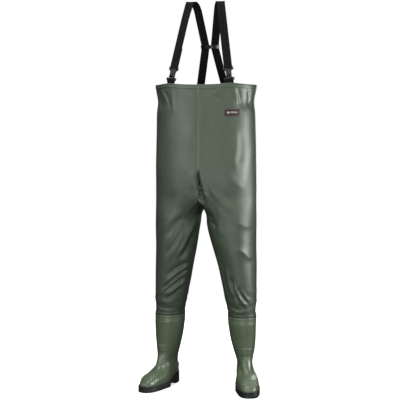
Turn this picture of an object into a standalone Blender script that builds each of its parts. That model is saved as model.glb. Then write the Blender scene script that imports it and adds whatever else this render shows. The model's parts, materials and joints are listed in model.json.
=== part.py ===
"""Chest waders: welded trousers with a bib, moulded boots, and elastic braces on side-release buckles.

Metres, +Z up. The wearer faces -Y and stands on Z = 0, and the origin is the middle of the footprint.
"Right" pieces are at +X and "left" pieces at -X.
"""

import math

import bmesh
import bpy
import numpy as np
from mathutils import Matrix, Vector

# ---------------------------------------------------------------- driving dimensions

AXIS_Y = 0.0269  # the upright axis through the chest and the ankles
GAP = 0.0003  # left between pieces that touch

HEM_Z = 1.377
FORK_Z = 0.885  # the legs start to part here, on the outside
CROTCH_Z = 0.850
CUFF_Z = 0.318  # lower end of a trouser leg, tucked into its boot
CLOTH = 0.0018
HALF_SEAM = 0.0005  # half of the butt joint between the two body panels

# height, half width, half depth of the bib and hips
TORSO = (
    (HEM_Z, 0.2320, 0.155),
    (1.290, 0.2280, 0.153),
    (1.100, 0.2300, 0.156),
    (0.950, 0.2325, 0.157),
    (FORK_Z, 0.2325, 0.150),
)
# height, distance of the leg's centre from the middle, half width, half depth
LEG = (
    (FORK_Z, 0.11625, 0.11625, 0.1500),
    (0.800, 0.1205, 0.1115, 0.1280),
    (0.670, 0.1330, 0.0990, 0.1200),
    (0.560, 0.1468, 0.0868, 0.1065),
    (0.450, 0.1580, 0.0760, 0.0920),
    (0.380, 0.1650, 0.0680, 0.0800),
    (0.345, 0.1685, 0.0615, 0.0750),
    (CUFF_Z, 0.1692, 0.0608, 0.0742),
)
SPLAY = math.radians(19.5)  # each foot turns outward
SPLAY_FROM_Z = 0.62  # the leg turns with the foot below this height

ANKLE_X = 0.181
BOOT_Z = 0.330
BOOT_LEAN = 0.012  # the shaft leans in toward its top
LEAN_FROM_Z = 0.12
BOOT_WALL = 0.003
TOE_Y = -0.215
HEEL_Y = 0.070
FOOT_HALF_WIDTH = 0.050
FLOOR_Z = 0.0173  # underside of the upper at the forefoot
HEEL_LIFT = 0.0150
# height, front, back, half width and how foot-like the outline is
BOOT_RINGS = (
    (BOOT_Z, -0.0790, 0.0790, 0.0655, 0.0),
    (0.285, -0.0775, 0.0775, 0.0630, 0.0),
    (0.230, -0.0715, 0.0740, 0.0575, 0.0),
    (0.180, -0.0665, 0.0695, 0.0490, 0.0),
    (0.148, -0.0655, 0.0665, 0.0410, 0.0),
    (0.122, -0.0720, 0.0650, 0.0360, 0.2),
    (0.102, -0.0900, 0.0645, 0.0370, 0.4),
    (0.085, -0.1190, 0.0650, 0.0405, 0.7),
    (0.070, -0.1540, 0.0665, 0.0450, 0.9),
    (0.054, -0.1900, 0.0685, 0.0485, 1.0),
    (0.036, -0.2110, 0.0695, 0.0498, 1.0),
    (FLOOR_Z, TOE_Y + 0.002, HEEL_Y - 0.001, 0.0490, 1.0),
)
BOOT_COLUMNS = 24

OUTSOLE_GROW = 0.0040  # how far the outsole stands out from the foot
WALL_IN = 0.0010  # clearance between the upper and the outsole's rim
RIM_FRONT = 0.010
RIM_HEEL_RISE = 0.012
ARCH_Y = (-0.052, 0.014)
ARCH_DEPTH = 0.014
GROOVE = 0.004
FOREFOOT_GROOVES = 6
HEEL_GROOVES = 2

WEB_WIDTH = 0.037
WEB = 0.0015
# the braces' centre line on the right side, as distances from the upright axis
BUCKLE_AT = Vector((0.1275, -0.1130, 1.4270))
FRONT_HIGH = Vector((0.0795, -0.0340, 1.7055))
SHOULDER_TOP = Vector((0.0660, 0.0000, 1.7545))
BACK_HIGH = Vector((0.0455, 0.0420, 1.7130))
KEEPER_AT = Vector((0.0213, 0.0895, 1.5580))
BACK_HEM = Vector((0.0565, 0.1425, 1.3850))
BACK_END = Vector((0.0610, 0.1415, 1.3300))
TAIL_LENGTH = 0.090
BUCKLE_YAW = math.radians(10)
BACK_YAW = math.radians(-10)

BAR_HALF = 0.0230  # half width of the buckle's webbing frames
SLOT_HALF = 0.0197
PLATE = 0.0040
PRONG_ROOT_Z = -0.0187
PRONG_X = 0.0077

# ---------------------------------------------------------------- scene and materials

for old in list(bpy.data.objects):
    bpy.data.objects.remove(old)

parts = bpy.data.collections.new("chest_waders")
cutters = bpy.data.collections.new("cutters")
bpy.context.scene.collection.children.link(parts)
bpy.context.scene.collection.children.link(cutters)


def material(name, colour, roughness, metallic=0.0):
    made = bpy.data.materials.new(name)
    made.use_nodes = True
    shader = made.node_tree.nodes["Principled BSDF"]
    shader.inputs["Base Color"].default_value = (*colour, 1.0)
    shader.inputs["Roughness"].default_value = roughness
    shader.inputs["Metallic"].default_value = metallic
    return made


PVC = material("coated_cloth", (0.075, 0.095, 0.066), 0.38)
PVC_TAPE = material("seam_tape", (0.085, 0.105, 0.075), 0.35)
BOOT_PVC = material("boot_pvc", (0.085, 0.105, 0.060), 0.32)
SOLE_RUBBER = material("sole_rubber", (0.012, 0.013, 0.012), 0.60)
INSOLE_FOAM = material("insole_foam", (0.20, 0.20, 0.19), 0.90)
WEBBING = material("elastic_webbing", (0.012, 0.012, 0.013), 0.85)
BUCKLE_PLASTIC = material("buckle_plastic", (0.015, 0.015, 0.016), 0.35)
LABEL = material("label", (0.010, 0.010, 0.010), 0.45)


# ---------------------------------------------------------------- helpers


def value(stations, z, column):
    """One column of a table of stations, read at height z."""
    heights = [row[0] for row in stations][::-1]
    values = [row[column] for row in stations][::-1]
    return float(np.interp(z, heights, values))


def ease(x):
    x = min(max(x, 0.0), 1.0)
    return x * x * (3 - 2 * x)


def new_object(name, mesh, look, collection=parts):
    made = bpy.data.objects.new(name, mesh)
    made.data.materials.append(look)
    collection.objects.link(made)
    return made


def mesh_from(bm, name, smooth=True):
    mesh = bpy.data.meshes.new(name)
    bm.normal_update()
    bm.to_mesh(mesh)
    bm.free()
    if smooth:
        mesh.shade_smooth()
        mesh.set_sharp_from_angle(angle=math.radians(40))
    return mesh


def add_rings(bm, rings, around, flip=False):
    """Quads between neighbouring rings; `around` closes each ring."""
    rows = [[bm.verts.new(p) for p in ring] for ring in rings]
    join_rows(bm, rows, around, flip)
    return rows


def join_rows(bm, rows, around, flip=False):
    for upper, lower in zip(rows, rows[1:]):
        count = len(upper)
        for i in range(count if around else count - 1):
            j = (i + 1) % count
            corners = (upper[i], lower[i], lower[j], upper[j])
            bm.faces.new(corners[::-1] if flip else corners)


def cap_across(bm, ring, flip=False):
    """Close a ring whose points i and -i face each other, with strips between them."""
    count = len(ring)
    for i in range(count // 2):
        a, b = ring[i], ring[i + 1]
        c, d = ring[(count - i - 1) % count], ring[(count - i) % count]
        corners = [v for k, v in enumerate((a, b, c, d)) if v not in (a, b, c, d)[:k]]
        bm.faces.new(corners[::-1] if flip else corners)


def shell(made, thickness, outward=False, even=False):
    skin = made.modifiers.new("thickness", "SOLIDIFY")
    skin.thickness = thickness
    skin.offset = 1.0 if outward else -1.0
    skin.use_even_offset = even


def cut(made, cutter, operation="DIFFERENCE"):
    boolean = made.modifiers.new(cutter.name, "BOOLEAN")
    boolean.operation = operation
    boolean.object = cutter


def as_cutter(made):
    made.hide_render = True
    made.display_type = "WIRE"
    return made


def add_box(bm, low, high):
    centre = (Vector(low) + Vector(high)) / 2
    size = Vector(high) - Vector(low)
    bmesh.ops.create_cube(bm, size=1, matrix=Matrix.Translation(centre) @ Matrix.Diagonal((*size, 1)))


def boxes(name, extents, look, parent=None, collection=parts):
    """One object made of plain boxes, each given by its two far corners."""
    bm = bmesh.new()
    for low, high in extents:
        add_box(bm, low, high)
    made = new_object(name, mesh_from(bm, name, smooth=False), look, collection)
    made.parent = parent
    return made


def outline_solid(name, points, depth, look, parent, collection=parts):
    """A flat outline in X and Z, extruded along Y by `depth`, as a mesh."""
    curve = bpy.data.curves.new(name + "_outline", "CURVE")
    curve.dimensions = "2D"
    curve.fill_mode = "BOTH"
    curve.extrude = depth / 2
    spline = curve.splines.new("POLY")
    spline.points.add(len(points) - 1)
    for point, (x, z) in zip(spline.points, points):
        point.co = (x, z, 0, 1)
    spline.use_cyclic_u = True
    flat = bpy.data.objects.new(name + "_outline", curve)
    parts.objects.link(flat)
    mesh = bpy.data.meshes.new_from_object(flat.evaluated_get(bpy.context.evaluated_depsgraph_get()))
    mesh.transform(Matrix.Rotation(math.radians(90), 4, "X"))
    bm = bmesh.new()
    bm.from_mesh(mesh)
    bmesh.ops.remove_doubles(bm, verts=bm.verts, dist=0.00001)
    bmesh.ops.recalc_face_normals(bm, faces=bm.faces)
    bpy.data.objects.remove(flat)
    made = new_object(name, mesh_from(bm, name, smooth=False), look, collection)
    made.parent = parent
    return made


def mirrored(points):
    return [(-x, z) for x, z in points][::-1]


def empty(name, matrix):
    made = bpy.data.objects.new(name, None)
    parts.objects.link(made)
    made.matrix_world = matrix
    return made


# ---------------------------------------------------------------- trousers and bib

OUT_COLUMNS = 16
IN_COLUMNS = 8
INNER_WRAP = math.radians(35)
ROUND_BY = 0.20  # the legs are round from this share of their length on
CROTCH_SLOPE = 0.45  # how fast the inner sides of the legs part just below the crotch


def torso_point(phi, z, grow=0.0):
    """A point of the bib: phi is 0 at the front, 90 degrees at +X and 180 at the back."""
    wide, deep = value(TORSO, z, 1), value(TORSO, z, 2)
    normal = Vector((math.sin(phi) / wide, -math.cos(phi) / deep, 0)).normalized()
    return Vector((wide * math.sin(phi), AXIS_Y - deep * math.cos(phi), z)) + normal * grow


def leg_point(psi, z):
    """A point of the right leg: psi is 0 at its front and 90 degrees on its outer side."""
    wide, deep = value(LEG, z, 2), value(LEG, z, 3)
    turn = SPLAY * ease((SPLAY_FROM_Z - z) / (SPLAY_FROM_Z - BOOT_Z))
    x, y = wide * math.sin(psi), -deep * math.cos(psi)
    return Vector((
        value(LEG, z, 1) + x * math.cos(turn) - y * math.sin(turn),
        AXIS_Y + x * math.sin(turn) + y * math.cos(turn),
        z,
    ))


def leg_ring(t):
    """A ring of the right panel below the fork; t runs from 0 at the fork to 1 at the cuff."""
    roundness = ease(t / ROUND_BY)
    ring = []
    for i in range(OUT_COLUMNS + 1):
        share = i / OUT_COLUMNS
        z = FORK_Z + (CUFF_Z - FORK_Z) * t
        hip = torso_point(math.pi * share, max(z, FORK_Z))
        hip.x = max(hip.x, HALF_SEAM)
        hip.z = z
        leg = leg_point(-INNER_WRAP + (math.pi + 2 * INNER_WRAP) * share, z)
        ring.append(hip.lerp(leg, roundness))
    for k in range(1, IN_COLUMNS):
        share = k / IN_COLUMNS
        top = FORK_Z - (FORK_Z - CROTCH_Z) * math.sin(math.pi * share) ** 0.7
        z = top + (CUFF_Z - top) * t
        deep = value(TORSO, FORK_Z, 2)
        hip = Vector((HALF_SEAM + CROTCH_SLOPE * (top - z), AXIS_Y + deep * math.cos(math.pi * share), z))
        leg = leg_point(math.pi + INNER_WRAP + (math.pi - 2 * INNER_WRAP) * share, z)
        ring.append(hip.lerp(leg, roundness))
    return ring


def body_panel(name, side):
    """Half of the bib and one whole leg, in one welded panel."""
    bm = bmesh.new()
    torso_heights = np.linspace(HEM_Z, FORK_Z, 8)[:-1]
    torso_rows = []
    for z in torso_heights:
        row = [torso_point(math.pi * i / OUT_COLUMNS, z) for i in range(OUT_COLUMNS + 1)]
        for p in row:
            p.x = max(p.x, HALF_SEAM)
        torso_rows.append([bm.verts.new((side * p.x, p.y, p.z)) for p in row])
    leg_rows = []
    for t in (0, 0.03, 0.06, 0.09, 0.12, 0.16, 0.20, 0.26, 0.34, 0.43, 0.53, 0.63, 0.73, 0.82, 0.89, 0.95, 1):
        leg_rows.append([bm.verts.new((side * p.x, p.y, p.z)) for p in leg_ring(t)])
    flip = side < 0
    join_rows(bm, torso_rows + [leg_rows[0][: OUT_COLUMNS + 1]], around=False, flip=flip)
    join_rows(bm, leg_rows, around=True, flip=flip)
    made = new_object(name, mesh_from(bm, name), PVC)
    shell(made, CLOTH)


def bib_patch(name, look, phi, z, lift, thickness, columns, rows=2):
    """A patch that follows the bib, `lift` off its outer face (negative is inside)."""
    bm = bmesh.new()
    grid = []
    for height in np.linspace(z[1], z[0], rows):
        grid.append([torso_point(angle, height, lift) for angle in np.linspace(*phi, columns + 1)])
    add_rings(bm, grid, around=False)
    made = new_object(name, mesh_from(bm, name), look)
    shell(made, thickness, outward=True)
    return made


def arc_angles(x, half_arc, z):
    """The two angles of a patch centred at x that reaches half_arc to each side of it."""
    wide = value(TORSO, z, 1)
    middle = math.asin(x / wide)
    reach = half_arc / (wide * math.hypot(math.cos(middle), 0.67 * math.sin(middle)))
    return middle - reach, middle + reach


GUSSET_REACH = 0.10  # how far the gusset's wings run down each leg, as a share of the leg
GUSSET_OFF = 0.0013
TAPE_HALF = 0.006
TAPE = 0.0008
TAPE_FOOT = 0.004  # how far above the fork the centre tapes end
HEM_BAND = 0.0012
HEM_DROP = 0.016
HEM_LIP = 0.001  # how far the band stands above the hem
ON_CLOTH = GAP + 0.0002  # what lies on the cloth keeps this far off its facets


def seam_tape(name, phi_middle):
    reach = TAPE_HALF / value(TORSO, HEM_Z, 1)
    bib_patch(
        name, PVC_TAPE, (phi_middle - reach, phi_middle + reach),
        (FORK_Z + TAPE_FOOT, HEM_Z - HEM_DROP - GAP), ON_CLOTH, TAPE, 2, rows=8,
    )


def hem_band():
    bm = bmesh.new()
    count = 2 * OUT_COLUMNS
    rings = []
    for z in (HEM_Z + HEM_LIP, HEM_Z - HEM_DROP):
        reading = min(z, HEM_Z)
        ring = [torso_point(2 * math.pi * i / count, reading, ON_CLOTH) for i in range(count)]
        for p in ring:
            p.z = z
        rings.append(ring)
    add_rings(bm, rings, around=True)
    shell(new_object("hem_band", mesh_from(bm, "hem_band"), PVC_TAPE), HEM_BAND, outward=True)


def crotch_gusset():
    """A saddle over the joint under the crotch, from front to back, one wing on each leg."""
    wings = 3
    rows = []
    for k in range(1, IN_COLUMNS):
        reach = GUSSET_REACH * (0.4 + 0.6 * math.sin(math.pi * k / IN_COLUMNS))
        row = []
        for w in range(-wings, wings + 1):
            p = leg_ring(reach * abs(w) / wings)[OUT_COLUMNS + k]
            off = p.x - GUSSET_OFF if w else 0.0
            row.append(Vector((math.copysign(off, w), p.y, p.z - (0 if w else 4 * GUSSET_OFF))))
        rows.append(row)
    bm = bmesh.new()
    add_rings(bm, rows, around=False)
    shell(new_object("crotch_gusset", mesh_from(bm, "crotch_gusset"), PVC_TAPE), TAPE)


ANCHOR_X = 0.1335
ANCHOR_HALF = 0.030
ANCHOR_TOP = 1.372
FRONT_ANCHOR_FOOT = 1.331
BACK_ANCHOR_FOOT = 1.322
BACK_ANCHOR_HALF = 0.092
ANCHOR_IN = -0.0102  # from the bib's outer face, which leaves room for the webbing's doubled end


def anchor_patches():
    """Reinforcing patches inside the hem, behind the ends of the webbing."""
    for side_name, side in (("right", 1), ("left", -1)):
        low, high = arc_angles(ANCHOR_X, ANCHOR_HALF, HEM_Z)
        phi = (low, high) if side > 0 else (-high, -low)
        z = (FRONT_ANCHOR_FOOT, ANCHOR_TOP)
        bib_patch(side_name + "_front_anchor", PVC_TAPE, phi, z, ANCHOR_IN, TAPE, 6)
    reach = math.asin(BACK_ANCHOR_HALF / value(TORSO, HEM_Z, 1))
    phi = (math.pi - reach, math.pi + reach)
    bib_patch("back_anchor", PVC_TAPE, phi, (BACK_ANCHOR_FOOT, ANCHOR_TOP), ANCHOR_IN, TAPE, 12)


LABEL_X = 0.146
LABEL_Z = 1.254
LABEL_HALF = (0.036, 0.0155)
LABEL_THICK = 0.0014

for side_name, side in (("right", 1), ("left", -1)):
    body_panel(side_name + "_body_panel", side)
seam_tape("front_seam_tape", 0.0)
seam_tape("back_seam_tape", math.pi)
hem_band()
crotch_gusset()
anchor_patches()
bib_patch(
    "label_patch", LABEL, arc_angles(LABEL_X, LABEL_HALF[0], LABEL_Z),
    (LABEL_Z - LABEL_HALF[1], LABEL_Z + LABEL_HALF[1]), ON_CLOTH, LABEL_THICK, 6, rows=3,
)

# ---------------------------------------------------------------- boots


BALL_Y = -0.095  # the foot rises from here to its heel
INSTEP_Z = 0.085  # the heel's lift fades out by this far above the floor
TOE_BLUNT = 0.36
HEEL_NARROW = 0.26
TOE_INWARD = 0.008  # the toe curves toward the other foot


def floor_lift(y):
    """How much higher the foot stands at y than at the ball."""
    return HEEL_LIFT * ease((y - BALL_Y) / 0.10)


def foot_ring(z, front, back, half, foot, grow=0.0, columns=BOOT_COLUMNS):
    """One outline of the right boot, in the boot's own frame, with the toe toward -Y."""
    front, back, half = front - grow, back + grow, half + grow
    middle, reach = (front + back) / 2, (back - front) / 2
    settle = 1 - min(max((z - FLOOR_Z) / INSTEP_Z, 0), 1)
    ring = []
    for i in range(columns):
        angle = 2 * math.pi * i / columns
        y = middle - reach * math.cos(angle)
        bulge = abs(math.sin(angle)) ** (1 - TOE_BLUNT * foot)
        narrow = 1 - HEEL_NARROW * foot * ease((y + 0.085) / 0.11)
        x = math.copysign(half * bulge * narrow, math.sin(angle))
        x -= TOE_INWARD * foot * ease((-y - 0.09) / 0.12)
        ring.append(Vector((x, y, z + floor_lift(y) * settle)))
    return ring


def boot_frame(side):
    turn = Matrix.Rotation(side * SPLAY, 4, "Z")
    return Matrix.Translation((side * ANKLE_X, AXIS_Y, 0)) @ turn


def placed(ring, side):
    """Mirror a ring for the left boot, and lean the shaft in toward the top."""
    out = []
    for p in ring:
        lean = BOOT_LEAN * ease((p.z - LEAN_FROM_Z) / (BOOT_Z - LEAN_FROM_Z))
        shift = Matrix.Rotation(-side * SPLAY, 4, "Z") @ Vector((-side * lean, 0, 0))
        out.append(Vector((side * p.x, p.y, p.z)) + shift)
    return out


def boot_upper(name, side, frame):
    bm = bmesh.new()
    rings = [placed(foot_ring(*row), side) for row in BOOT_RINGS]
    rows = add_rings(bm, rings, around=True, flip=side < 0)
    cap_across(bm, rows[-1], flip=side > 0)
    made = new_object(name, mesh_from(bm, name), BOOT_PVC)
    made.matrix_world = frame
    shell(made, BOOT_WALL, even=True)


def sole_ring(side, above, grow, flat=False, rise=0.0):
    """A ring of the outsole, `above` the upper's floor; a flat one lies on the ground."""
    ring = foot_ring(FLOOR_Z, TOE_Y, HEEL_Y, FOOT_HALF_WIDTH, 1.0, grow)
    for p in ring:
        p.z = 0.0 if flat else p.z + above + rise * ease((p.y + 0.06) / 0.10)
    return placed(ring, side)


def outsole(name, side, frame):
    bm = bmesh.new()
    rings = (
        sole_ring(side, -2 * GAP, WALL_IN),
        sole_ring(side, RIM_FRONT, WALL_IN, rise=RIM_HEEL_RISE),
        sole_ring(side, RIM_FRONT, OUTSOLE_GROW, rise=RIM_HEEL_RISE),
        sole_ring(side, 0.0, OUTSOLE_GROW, flat=True),
    )
    rows = add_rings(bm, rings, around=True, flip=side < 0)
    cap_across(bm, rows[0], flip=side < 0)
    cap_across(bm, rows[-1], flip=side > 0)
    made = new_object(name, mesh_from(bm, name), SOLE_RUBBER)
    made.matrix_world = frame
    wide, below = 0.08, -0.01
    extents = [((-wide, ARCH_Y[0], below), (wide, ARCH_Y[1], ARCH_DEPTH))]
    for count, start, end in ((FOREFOOT_GROOVES, TOE_Y, ARCH_Y[0]), (HEEL_GROOVES, ARCH_Y[1], HEEL_Y)):
        pitch = (end - start) / (count + 1)
        for i in range(count):
            y = start + pitch * (i + 1)
            extents.append(((-wide, y - GROOVE / 2, below), (wide, y + GROOVE / 2, GROOVE)))
    tread = as_cutter(boxes(name + "_tread", extents, SOLE_RUBBER, collection=cutters))
    tread.matrix_world = frame
    cut(made, tread)


INSOLE_CLEAR = 0.0035
INSOLE_THICK = 0.004


def insole(name, side, frame):
    bm = bmesh.new()
    inset = -BOOT_WALL - INSOLE_CLEAR
    lower = foot_ring(FLOOR_Z, TOE_Y, HEEL_Y, FOOT_HALF_WIDTH, 1.0, inset)
    for p in lower:
        p.z += BOOT_WALL + 2 * GAP
    upper = [p + Vector((0, 0, INSOLE_THICK)) for p in lower]
    rows = add_rings(bm, [placed(upper, side), placed(lower, side)], around=True, flip=side < 0)
    cap_across(bm, rows[0], flip=side < 0)
    cap_across(bm, rows[-1], flip=side > 0)
    made = new_object(name, mesh_from(bm, name), INSOLE_FOAM)
    made.matrix_world = frame


WELD_TOP = 0.342
WELD_FOOT = 0.296
WELD = 0.0010
WELD_CLEAR = 0.0007


def weld_band(name, side):
    """The tape inside the boot's mouth that joins the trouser leg to the boot."""
    bm = bmesh.new()
    count = BOOT_COLUMNS
    inset = 1 - (CLOTH + WELD_CLEAR) / value(LEG, CUFF_Z, 2)
    rings = []
    for z in (WELD_TOP, WELD_FOOT):
        ring = []
        for i in range(count):
            p = leg_point(2 * math.pi * i / count, max(z, CUFF_Z))
            centre = Vector((value(LEG, CUFF_Z, 1), AXIS_Y, 0))
            flat = (Vector((p.x, p.y, 0)) - centre) * inset + centre
            ring.append(Vector((side * flat.x, flat.y, z)))
        rings.append(ring)
    add_rings(bm, rings, around=True, flip=side < 0)
    shell(new_object(name, mesh_from(bm, name), PVC_TAPE), WELD)


for side_name, side in (("right", 1), ("left", -1)):
    boot = boot_frame(side)
    boot_upper(side_name + "_boot_upper", side, boot)
    outsole(side_name + "_boot_outsole", side, boot)
    insole(side_name + "_boot_insole", side, boot)
    weld_band(side_name + "_boot_weld_band", side)

# ---------------------------------------------------------------- braces


def on_axis(point):
    return Vector((point.x, point.y + AXIS_Y, point.z))


def buckle_frame(side):
    """The buckle's frame: X across the webbing, Z up along the brace, -Y outward."""
    up = (FRONT_HIGH - BUCKLE_AT).normalized()
    across = Vector((math.cos(BUCKLE_YAW), math.sin(BUCKLE_YAW), 0))
    across = (across - up * across.dot(up)).normalized()
    depth = up.cross(across)
    frame = Matrix((across, depth, up)).transposed().to_4x4()
    frame.translation = on_axis(BUCKLE_AT)
    if side < 0:
        flip = Matrix.Diagonal((-1, 1, 1, 1))
        frame = flip @ frame @ flip
    return frame


def smooth_path(points, steps):
    """A Catmull-Rom curve through the inner points of the list."""
    path = []
    for a, b, c, d in zip(points, points[1:], points[2:], points[3:]):
        for i in range(steps):
            t = i / steps
            slope, bend, twist = c - a, 2 * a - 5 * b + 4 * c - d, 3 * b - a - 3 * c + d
            path.append(b + 0.5 * (slope * t + bend * t**2 + twist * t**3))
    path.append(points[-2].copy())
    return path


def directions(path):
    return [(path[min(i + 1, len(path) - 1)] - path[max(i - 1, 0)]).normalized() for i in range(len(path))]


def yawed(angle):
    return Vector((math.cos(angle), math.sin(angle), 0))


def ribbon(name, path, ways, widths, side, look, width=WEB_WIDTH, thickness=WEB):
    """Flat webbing along a path of the right side, its width along each of `widths`."""
    bm = bmesh.new()
    rings = []
    for i, point in enumerate(path):
        along = ways[i]
        across = (widths[i] - along * widths[i].dot(along)).normalized() * width / 2
        normal = along.cross(across).normalized() * thickness / 2
        corners = (point + across + normal, point - across + normal,
                   point - across - normal, point + across - normal)
        rings.append([Vector((side * p.x, p.y, p.z)) for p in corners])
    rows = add_rings(bm, rings, around=True, flip=side > 0)
    bm.faces.new(rows[0] if side < 0 else rows[0][::-1])
    bm.faces.new(rows[-1][::-1] if side < 0 else rows[-1])
    bmesh.ops.recalc_face_normals(bm, faces=bm.faces)
    return new_object(name, mesh_from(bm, name, smooth=False), look)


BEND_BEFORE = 0.035  # the brace is straight to this far before FRONT_HIGH
KEEPER_RUN = 0.012  # and straight for this far to each side of the keeper
LOOP = 0.00305  # from the middle of a webbing bar to the middle of the webbing
SOCKET_BAR = (0.0275, 0.0310)
# the webbing's turn under the socket's bar, as distances behind the plate and up the brace
SOCKET_TURN = ((LOOP, 0.0270), (0.0024, 0.0250), (0.0, 0.0241), (-0.0024, 0.0250), (-LOOP, 0.0270))
BASE_BAR = (-0.0315, -0.0285)
BASE_TURN = ((-LOOP, -0.0280), (-0.0024, -0.0260), (0.0, -0.0251), (0.0024, -0.0260), (LOOP, -0.0280))


def brace_paths():
    """The centre line from the tail's end round the buckle to the shoulder, and on to the back hem."""
    frame = buckle_frame(1)
    tail_end = SOCKET_BAR[1] + TAIL_LENGTH
    front = [frame @ Vector((0, LOOP, z)) for z in np.linspace(tail_end, SOCKET_BAR[1], 4)]
    front += [frame @ Vector((0, y, z)) for y, z in SOCKET_TURN]
    straight = (FRONT_HIGH - BUCKLE_AT).length
    bend = straight - BEND_BEFORE
    front += [frame @ Vector((0, -LOOP, z)) for z in np.linspace(SOCKET_BAR[1], bend, 6)]
    guides = [on_axis(p) for p in (BUCKLE_AT, FRONT_HIGH, SHOULDER_TOP, BACK_HIGH, KEEPER_AT)]
    over = smooth_path(guides, 6)
    front += over[1:7]
    back = over[6:]
    lead = (KEEPER_AT - BACK_HIGH).normalized() * KEEPER_RUN
    leave = (BACK_HEM - KEEPER_AT).normalized() * KEEPER_RUN
    keeper = [KEEPER_AT - lead, KEEPER_AT, KEEPER_AT + leave]
    low = [KEEPER_AT.lerp(BACK_HEM, 0.5), BACK_HEM, BACK_HEM.lerp(BACK_END, 0.25), BACK_END]
    back = back[:-1] + [on_axis(p) for p in keeper + low]
    crossing = (over[7] - over[5]).normalized()
    front[-1] = front[-1] - crossing * GAP
    front_ways, back_ways = directions(front), directions(back)
    front_ways[-1] = crossing
    back_ways[0] = crossing
    return front, front_ways, back, back_ways


def brace(side_name, side):
    front, front_ways, back, back_ways = brace_paths()
    frame = buckle_frame(1)
    bend_z = front[-8].z  # the brace is straight up to here
    rest = on_axis(SHOULDER_TOP).z - bend_z
    front_widths = [frame.col[0].xyz.lerp(yawed(0), ease((p.z - bend_z) / rest)) for p in front]
    drop = KEEPER_AT.z - BACK_HEM.z
    back_widths = [yawed(BACK_YAW * ease((KEEPER_AT.z - p.z) / drop)) for p in back]
    ribbon(side_name + "_front_strap", front, front_ways, front_widths, side, WEBBING)
    ribbon(side_name + "_back_strap", back, back_ways, back_widths, side, WEBBING)


TAB_HEM = Vector((0.1335, -0.1194, 1.3740))
TAB_END = Vector((0.1335, -0.1194, 1.3380))
TAB_CLEAR = 0.0030  # the tab's layers run parallel to the buckle's plate for this far below its bar
TAB_YAW = math.radians(25)
TAB_SPREAD = 0.0011  # half the distance between the tab's two layers where they are sewn


def front_tab(name, side):
    """Webbing sewn inside the bib that loops round the lower half of the buckle."""
    frame = buckle_frame(1)
    inward = Vector((math.sin(-TAB_YAW), math.cos(TAB_YAW), 0))
    path = [on_axis(TAB_END) - inward * TAB_SPREAD, on_axis(TAB_HEM) - inward * TAB_SPREAD]
    path.append(frame @ Vector((0, -LOOP, BASE_BAR[0] - TAB_CLEAR)))
    path += [frame @ Vector((0, y, z)) for y, z in BASE_TURN]
    path.append(frame @ Vector((0, LOOP, BASE_BAR[0] - TAB_CLEAR)))
    path += [on_axis(TAB_HEM) + inward * TAB_SPREAD, on_axis(TAB_END) + inward * TAB_SPREAD]
    hem = yawed(TAB_YAW)
    bar = frame.col[0].xyz
    widths = [hem, hem] + [bar] * (len(path) - 4) + [hem, hem]
    ribbon(name, path, directions(path), widths, side, WEBBING)


KEEPER_HALF = (0.0437, 0.0032, 0.0080)
KEEPER_SLOT = (0.0420, 0.0019, 0.0200)


def spanning(half):
    """The two far corners of a box centred on the origin."""
    return tuple(-h for h in half), half


def keeper():
    """The bar that holds the two back straps side by side between the shoulder blades."""
    slope = (BACK_HEM - BACK_HIGH).normalized()
    tilt = math.atan2(slope.y, -slope.z)
    frame = Matrix.Translation(on_axis(Vector((0, KEEPER_AT.y, KEEPER_AT.z)))) @ Matrix.Rotation(tilt, 4, "X")
    made = boxes("back_keeper", [spanning(KEEPER_HALF)], BUCKLE_PLASTIC)
    made.matrix_world = frame
    slot = boxes("back_keeper_slot", [spanning(KEEPER_SLOT)], BUCKLE_PLASTIC, collection=cutters)
    slot.matrix_world = frame
    cut(made, as_cutter(slot))


# ---------------------------------------------------------------- side-release buckles

NECK = (0.0120, 0.0060)  # half width and half height of the socket's waist
MOUTH = (0.0130, -0.0165)
SHOULDER = (0.0150, 0.0150)
FRAME_Z = (0.0185, 0.0190)  # the housing's top edge, where it is as wide as its webbing frame
HOUSING_HALF = (
    MOUTH, (NECK[0], -NECK[1]), NECK, SHOULDER, (BAR_HALF, FRAME_Z[0]), (BAR_HALF, FRAME_Z[1]),
)
HOUSING_DEPTH = 0.0090
CAVITY_HALF = 0.0103
CAVITY_TOP = 0.0100
CAVITY_DEEP = 0.0026  # half depth of the cavity and of the side windows
WINDOW = (-0.0030, 0.0090)
THINNED = (0.0165, 0.0186)  # the shoulders are thinned between these heights
THINNED_DEEP = (0.0027, 0.0061)
SOCKET_FRAME_FOOT = 0.0188
SOCKET_SLOT_FOOT = 0.0225
BASE_FRAME_TOP = -0.0190
BASE_SLOT_TOP = -0.0240
TONGUE_HALF = (0.0022, 0.0018)
TONGUE_Z = (-0.0200, -0.0080)
PAST = 0.03  # how far a cutter reaches past what it cuts
PRONG_DEPTH = 0.0036
PRONG = (
    (0.0062, PRONG_ROOT_Z), (0.0092, PRONG_ROOT_Z), (0.0092, -0.0020), (0.0128, -0.0020),
    (0.0128, 0.0010), (0.0108, 0.0060), (0.0080, 0.0076), (0.0062, 0.0060),
)


def block(half_x, half_y, z):
    """The two far corners of a box on the buckle's middle line."""
    return (-half_x, -half_y, z[0]), (half_x, half_y, z[1])


def buckle_cutter(made, frame, suffix, extents, operation="DIFFERENCE"):
    cutter = boxes(made.name + suffix, extents, BUCKLE_PLASTIC, collection=cutters)
    cutter.matrix_world = frame
    cut(made, as_cutter(cutter), operation)


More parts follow.
